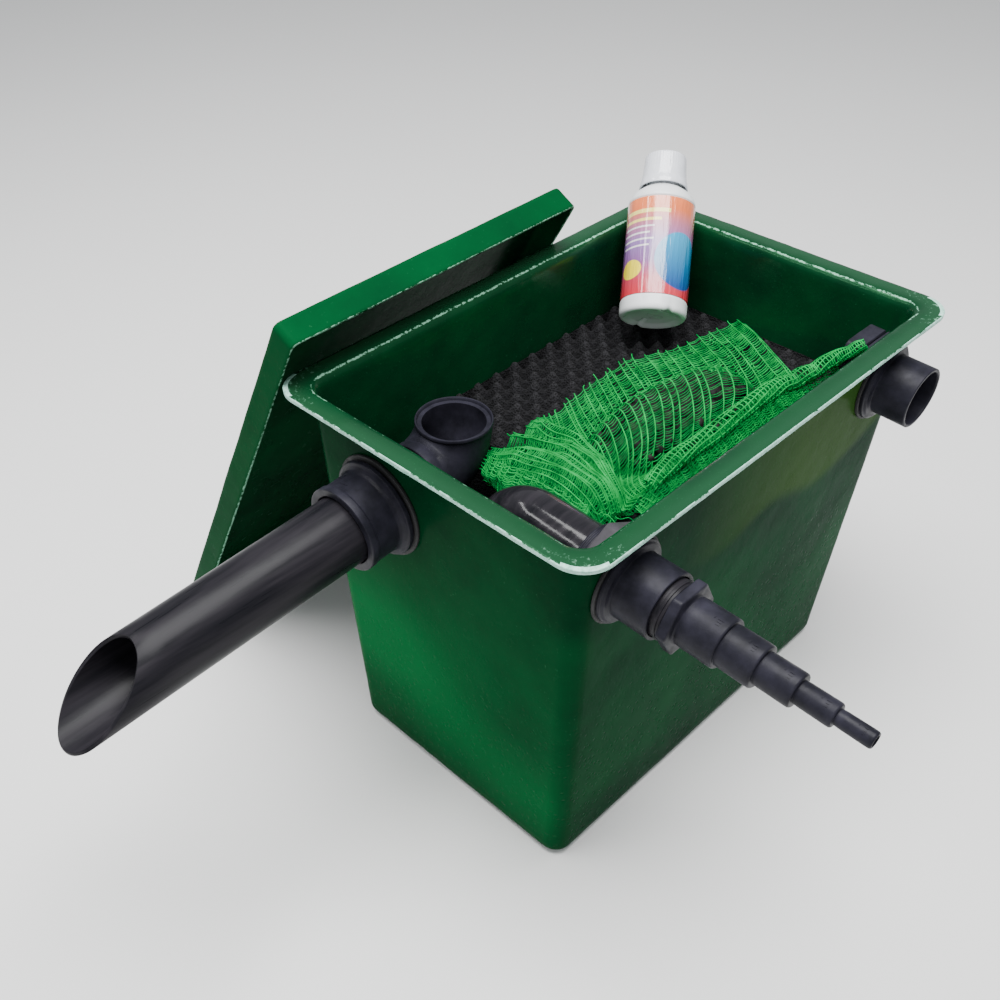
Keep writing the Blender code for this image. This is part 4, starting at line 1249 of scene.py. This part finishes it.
def label_material():
    """Generic printed label: colour bands, a disc and an oval, under glossy film. No lettering."""
    shader = Shader("label_film", (0.5, 0.2, 0.15), 0.22, Coat_Weight=1.0, Coat_Roughness=0.04)
    where = shader.node("UVMap", uv_map="label").outputs["UV"]
    split = shader.node("SeparateXYZ", {"Vector": where})
    across, up = split.outputs["X"], split.outputs["Y"]
    ramp = shader.node("ValToRGB", {"Fac": up})
    stops = (
        (0.0, (0.62, 0.03, 0.05)), (0.16, (0.55, 0.05, 0.09)), (0.34, (0.25, 0.1, 0.3)),
        (0.55, (0.28, 0.16, 0.42)), (0.74, (0.5, 0.16, 0.24)), (0.88, (0.8, 0.17, 0.05)),
        (1.0, (0.86, 0.2, 0.06)),
    )
    ramp.color_ramp.elements[0].color = (*stops[0][1], 1)
    ramp.color_ramp.elements[1].color = (*stops[-1][1], 1)
    for position, colour in stops[1:-1]:
        ramp.color_ramp.elements.new(position).color = (*colour, 1)
    colour = ramp.outputs["Color"]

    def oval(centre, half, soft=0.05):
        dx = shader.maths("DIVIDE", shader.maths("SUBTRACT", across, centre[0]), half[0])
        dy = shader.maths("DIVIDE", shader.maths("SUBTRACT", up, centre[1]), half[1])
        far = shader.maths("ADD", shader.maths("MULTIPLY", dx, dx), shader.maths("MULTIPLY", dy, dy))
        return shader.spread(far, 1.0 + soft, 1.0 - soft)

    def within(value, low, high):
        return shader.maths(
            "MULTIPLY", shader.maths("GREATER_THAN", value, low), shader.maths("LESS_THAN", value, high))

    def bar(x0, x1, y0, y1):
        return shader.maths("MULTIPLY", within(across, x0, x1), within(up, y0, y1))

    sea = shader.mix(shader.spread(up, 0.1, 0.6), (0.01, 0.07, 0.28), (0.02, 0.34, 0.6))
    for offset in (-0.36, 0.14, 0.64):
        colour = shader.mix(oval((0.475 + offset, 0.36), (0.135, 0.29)), colour, sea)
        colour = shader.mix(oval((0.22 + offset, 0.26), (0.062, 0.1)), colour, (0.9, 0.72, 0.03))
        for x0, x1, y0, y1 in ((0.16, 0.4, 0.83, 0.87), (0.15, 0.36, 0.745, 0.775)):
            colour = shader.mix(bar(x0 + offset, x1 + offset, y0, y1), colour, (0.95, 0.78, 0.2))
        for row in range(4):
            y = 0.68 - row * 0.065
            end = 0.33 + offset - 0.02 * (row % 2)
            colour = shader.mix(bar(0.15 + offset, end, y, y + 0.018), colour, (0.8, 0.75, 0.8))
    shader.link(colour, "Base Color")
    stretched = shader.node("Mapping", {"Vector": where, "Scale": (26, 1.6, 1)}).outputs["Vector"]
    crease = shader.node("TexNoise", {"Vector": stretched, "Scale": 1.6, "Detail": 2.0})
    shader.bump((crease.outputs["Fac"], 1.3))
    return shader.material


def foot_shape(turn, r, z):
    """Two notches across the foot, where the mould closes."""
    if z > 6 or r < 14:
        return r, z
    notch = math.exp(-((math.sin(turn - 0.5) / 0.11) ** 2))
    return r - 0.8 * notch, z + 1.8 * notch


def knurled(turn, r, z):
    """Fine ribs round the screw cap."""
    return r + (0.18 * math.cos(turn * 60) if r > 18 and z < 151 else 0), z


def top_ribbed(turn, r, z):
    """Short ribs round the top of the overcap."""
    on_rib = z > 155 and r > 19.5 and z < 165.5
    return r + (0.22 * max(0, math.cos(turn * 44)) if on_rib else 0), z


def make_label(place):
    """The label sleeve, with a UV map that runs once round and from its foot to its top."""
    foot, length, count = 16, 97.5, 128
    rows = [(32.4, foot), (32.95, 16.3), (33, 30), (33, 60), (33, 90), (32.95, 113.2), (32.4, foot + length)]
    points = []
    for r, z in rows:
        for i in range(count):
            turn = 2 * math.pi * i / count
            points.append(place @ Vector((r * math.cos(turn), r * math.sin(turn), z)))
    label = mesh_object("bottle_wrap", points, ring_faces(len(rows), count, True), label_material(), 50)
    uv = label.data.uv_layers.new(name="label")
    home = place.inverted()
    for face in label.data.polygons:
        local = [home @ label.data.vertices[vertex].co for vertex in face.vertices]
        turns = [(math.atan2(p.y, p.x) / (2 * math.pi)) % 1 for p in local]
        wraps = max(turns) - min(turns) > 0.5
        for corner, turn, p in zip(face.loop_indices, turns, local):
            uv.data[corner].uv = (turn + 1 if wraps and turn < 0.5 else turn, (p.z - foot) / length)
    settle(outward(label), "bottle", "label_film", "bottle_label")


def make_bottle():
    place = scaled(bottle_place())
    body = [(0.05, 5.5), (14, 5), (23, 3.4), (27, 1.2), (29.4, 0.2), (31.4, 1), (32.6, 2.8), (33, 5),
        (33, 14.2)]
    body += [(32.6, 15.4), (32.2, 15.8), (32.2, 113.8), (32.6, 114.2), (33, 115.2), (32.7, 117.5),
        (31.2, 121)]
    body += [(28.2, 125), (23.8, 128.6), (19.2, 131.6), (16.4, 134.4), (15, 137.5), (15, 149), (0.05, 149)]
    shell = lathe("bottle_shell", body, place, WHITE, 128, 1.0, foot_shape, closed=False)
    settle(shell, "bottle", "white_plastic", "bottle_body")
    make_label(place)
    cap = [(15.4, 149.5), (15.4, 139), (18.1, 139), (18.4, 139.6), (18.4, 151.6), (17.4, 152.8), (0.05, 153)]
    cap += [(0.05, 149.5)]
    inner = lathe("bottle_cap_inner", cap, place, WHITE, 240, 0.4, knurled)
    settle(inner, "screw_cap", "white_plastic", "bottle_screw_cap")
    cup = [(0.05, 166), (17, 166), (19.5, 165.6), (20.2, 164.4), (21.6, 147), (22.4, 141), (23.6, 136.5)]
    cup += [(24, 132.5), (22.4, 132.5), (20.8, 141), (19, 163.5), (0.05, 163.5)]
    outer = lathe("bottle_cap_outer", cup, place, MILKY, 264, 0.5, top_ribbed)
    settle(outer, "measuring_cap", "milky_plastic", "bottle_measuring_cap")


# ---------------------------------------------------------------- camera, floor and light

def make_camera():
    data = bpy.data.cameras.new("camera")
    camera = bpy.data.objects.new("camera", data)
    bpy.context.scene.collection.objects.link(camera)
    camera.location = (-0.6868, -0.5002, 0.9046)
    camera.rotation_euler = [math.radians(a) for a in (48.24, 1.01, -44.60)]
    data.sensor_width = 36
    data.lens = 40.47
    data.shift_x = 0.0454
    data.shift_y = 0.0593
    data.clip_start = 0.01
    bpy.context.scene.camera = camera


def make_floor():
    shader = Shader("floor", (0.86, 0.86, 0.85), 0.9)
    shader.link(shader.spread(shader.noise(3, 2, 0.5), 0.3, 0.7, 0.85, 0.95), "Roughness")
    half, drop = 12, 0.5 * MM
    corners = [(x * half, y * half, -drop) for x, y in ((-1, -1), (1, -1), (1, 1), (-1, 1))]
    floor = mesh_object("floor", corners, [(0, 1, 2, 3)], shader.material)


def area_light(name, place, target, size, power, colour=(1, 1, 1)):
    data = bpy.data.lights.new(name, "AREA")
    data.shape = "RECTANGLE"
    data.size, data.size_y = size
    data.energy = power
    data.color = colour
    light = bpy.data.objects.new(name, data)
    bpy.context.scene.collection.objects.link(light)
    light.location = place
    light.rotation_euler = (Vector(target) - Vector(place)).to_track_quat("-Z", "Y").to_euler()
    return light


def make_lights():
    world = bpy.data.worlds.new("studio")
    bpy.context.scene.world = world
    world.use_nodes = True
    background = world.node_tree.nodes["Background"]
    background.inputs["Color"].default_value = (0.93, 0.96, 1.0, 1)
    background.inputs["Strength"].default_value = 0.46
    area_light("key", (-0.15, -0.1, 2.3), (0, 0, 0.3), (1.7, 1.3), 112)
    area_light("strip", (-0.9, 0.9, 1.7), (-0.2, 0, 0.33), (1.3, 0.14), 10)
    area_light("fill", (-1.9, -0.9, 1.5), (0, 0, 0.2), (1.2, 1.2), 7)


def keep_cad_node(node, material):
    """A CAD node that shows as it is, with its edges broken and its own finish."""
    obj = frame["nodes"][node]
    obj.data.materials.clear()
    obj.data.materials.append(material)
    bevel = obj.modifiers.new("edges", "BEVEL")
    bevel.width = 0.6 * MM
    bevel.segments = 2
    bevel.limit_method = "ANGLE"


make_camera()
make_floor()
make_lights()
make_tub()
make_lid()
make_outlet()
make_spout()
make_elbow()
make_inlet()
make_inlet_bend()
make_second_outlet()
keep_cad_node("media_grid", GRID_BLACK)
make_foams()
make_media()
make_net()
make_bottle()
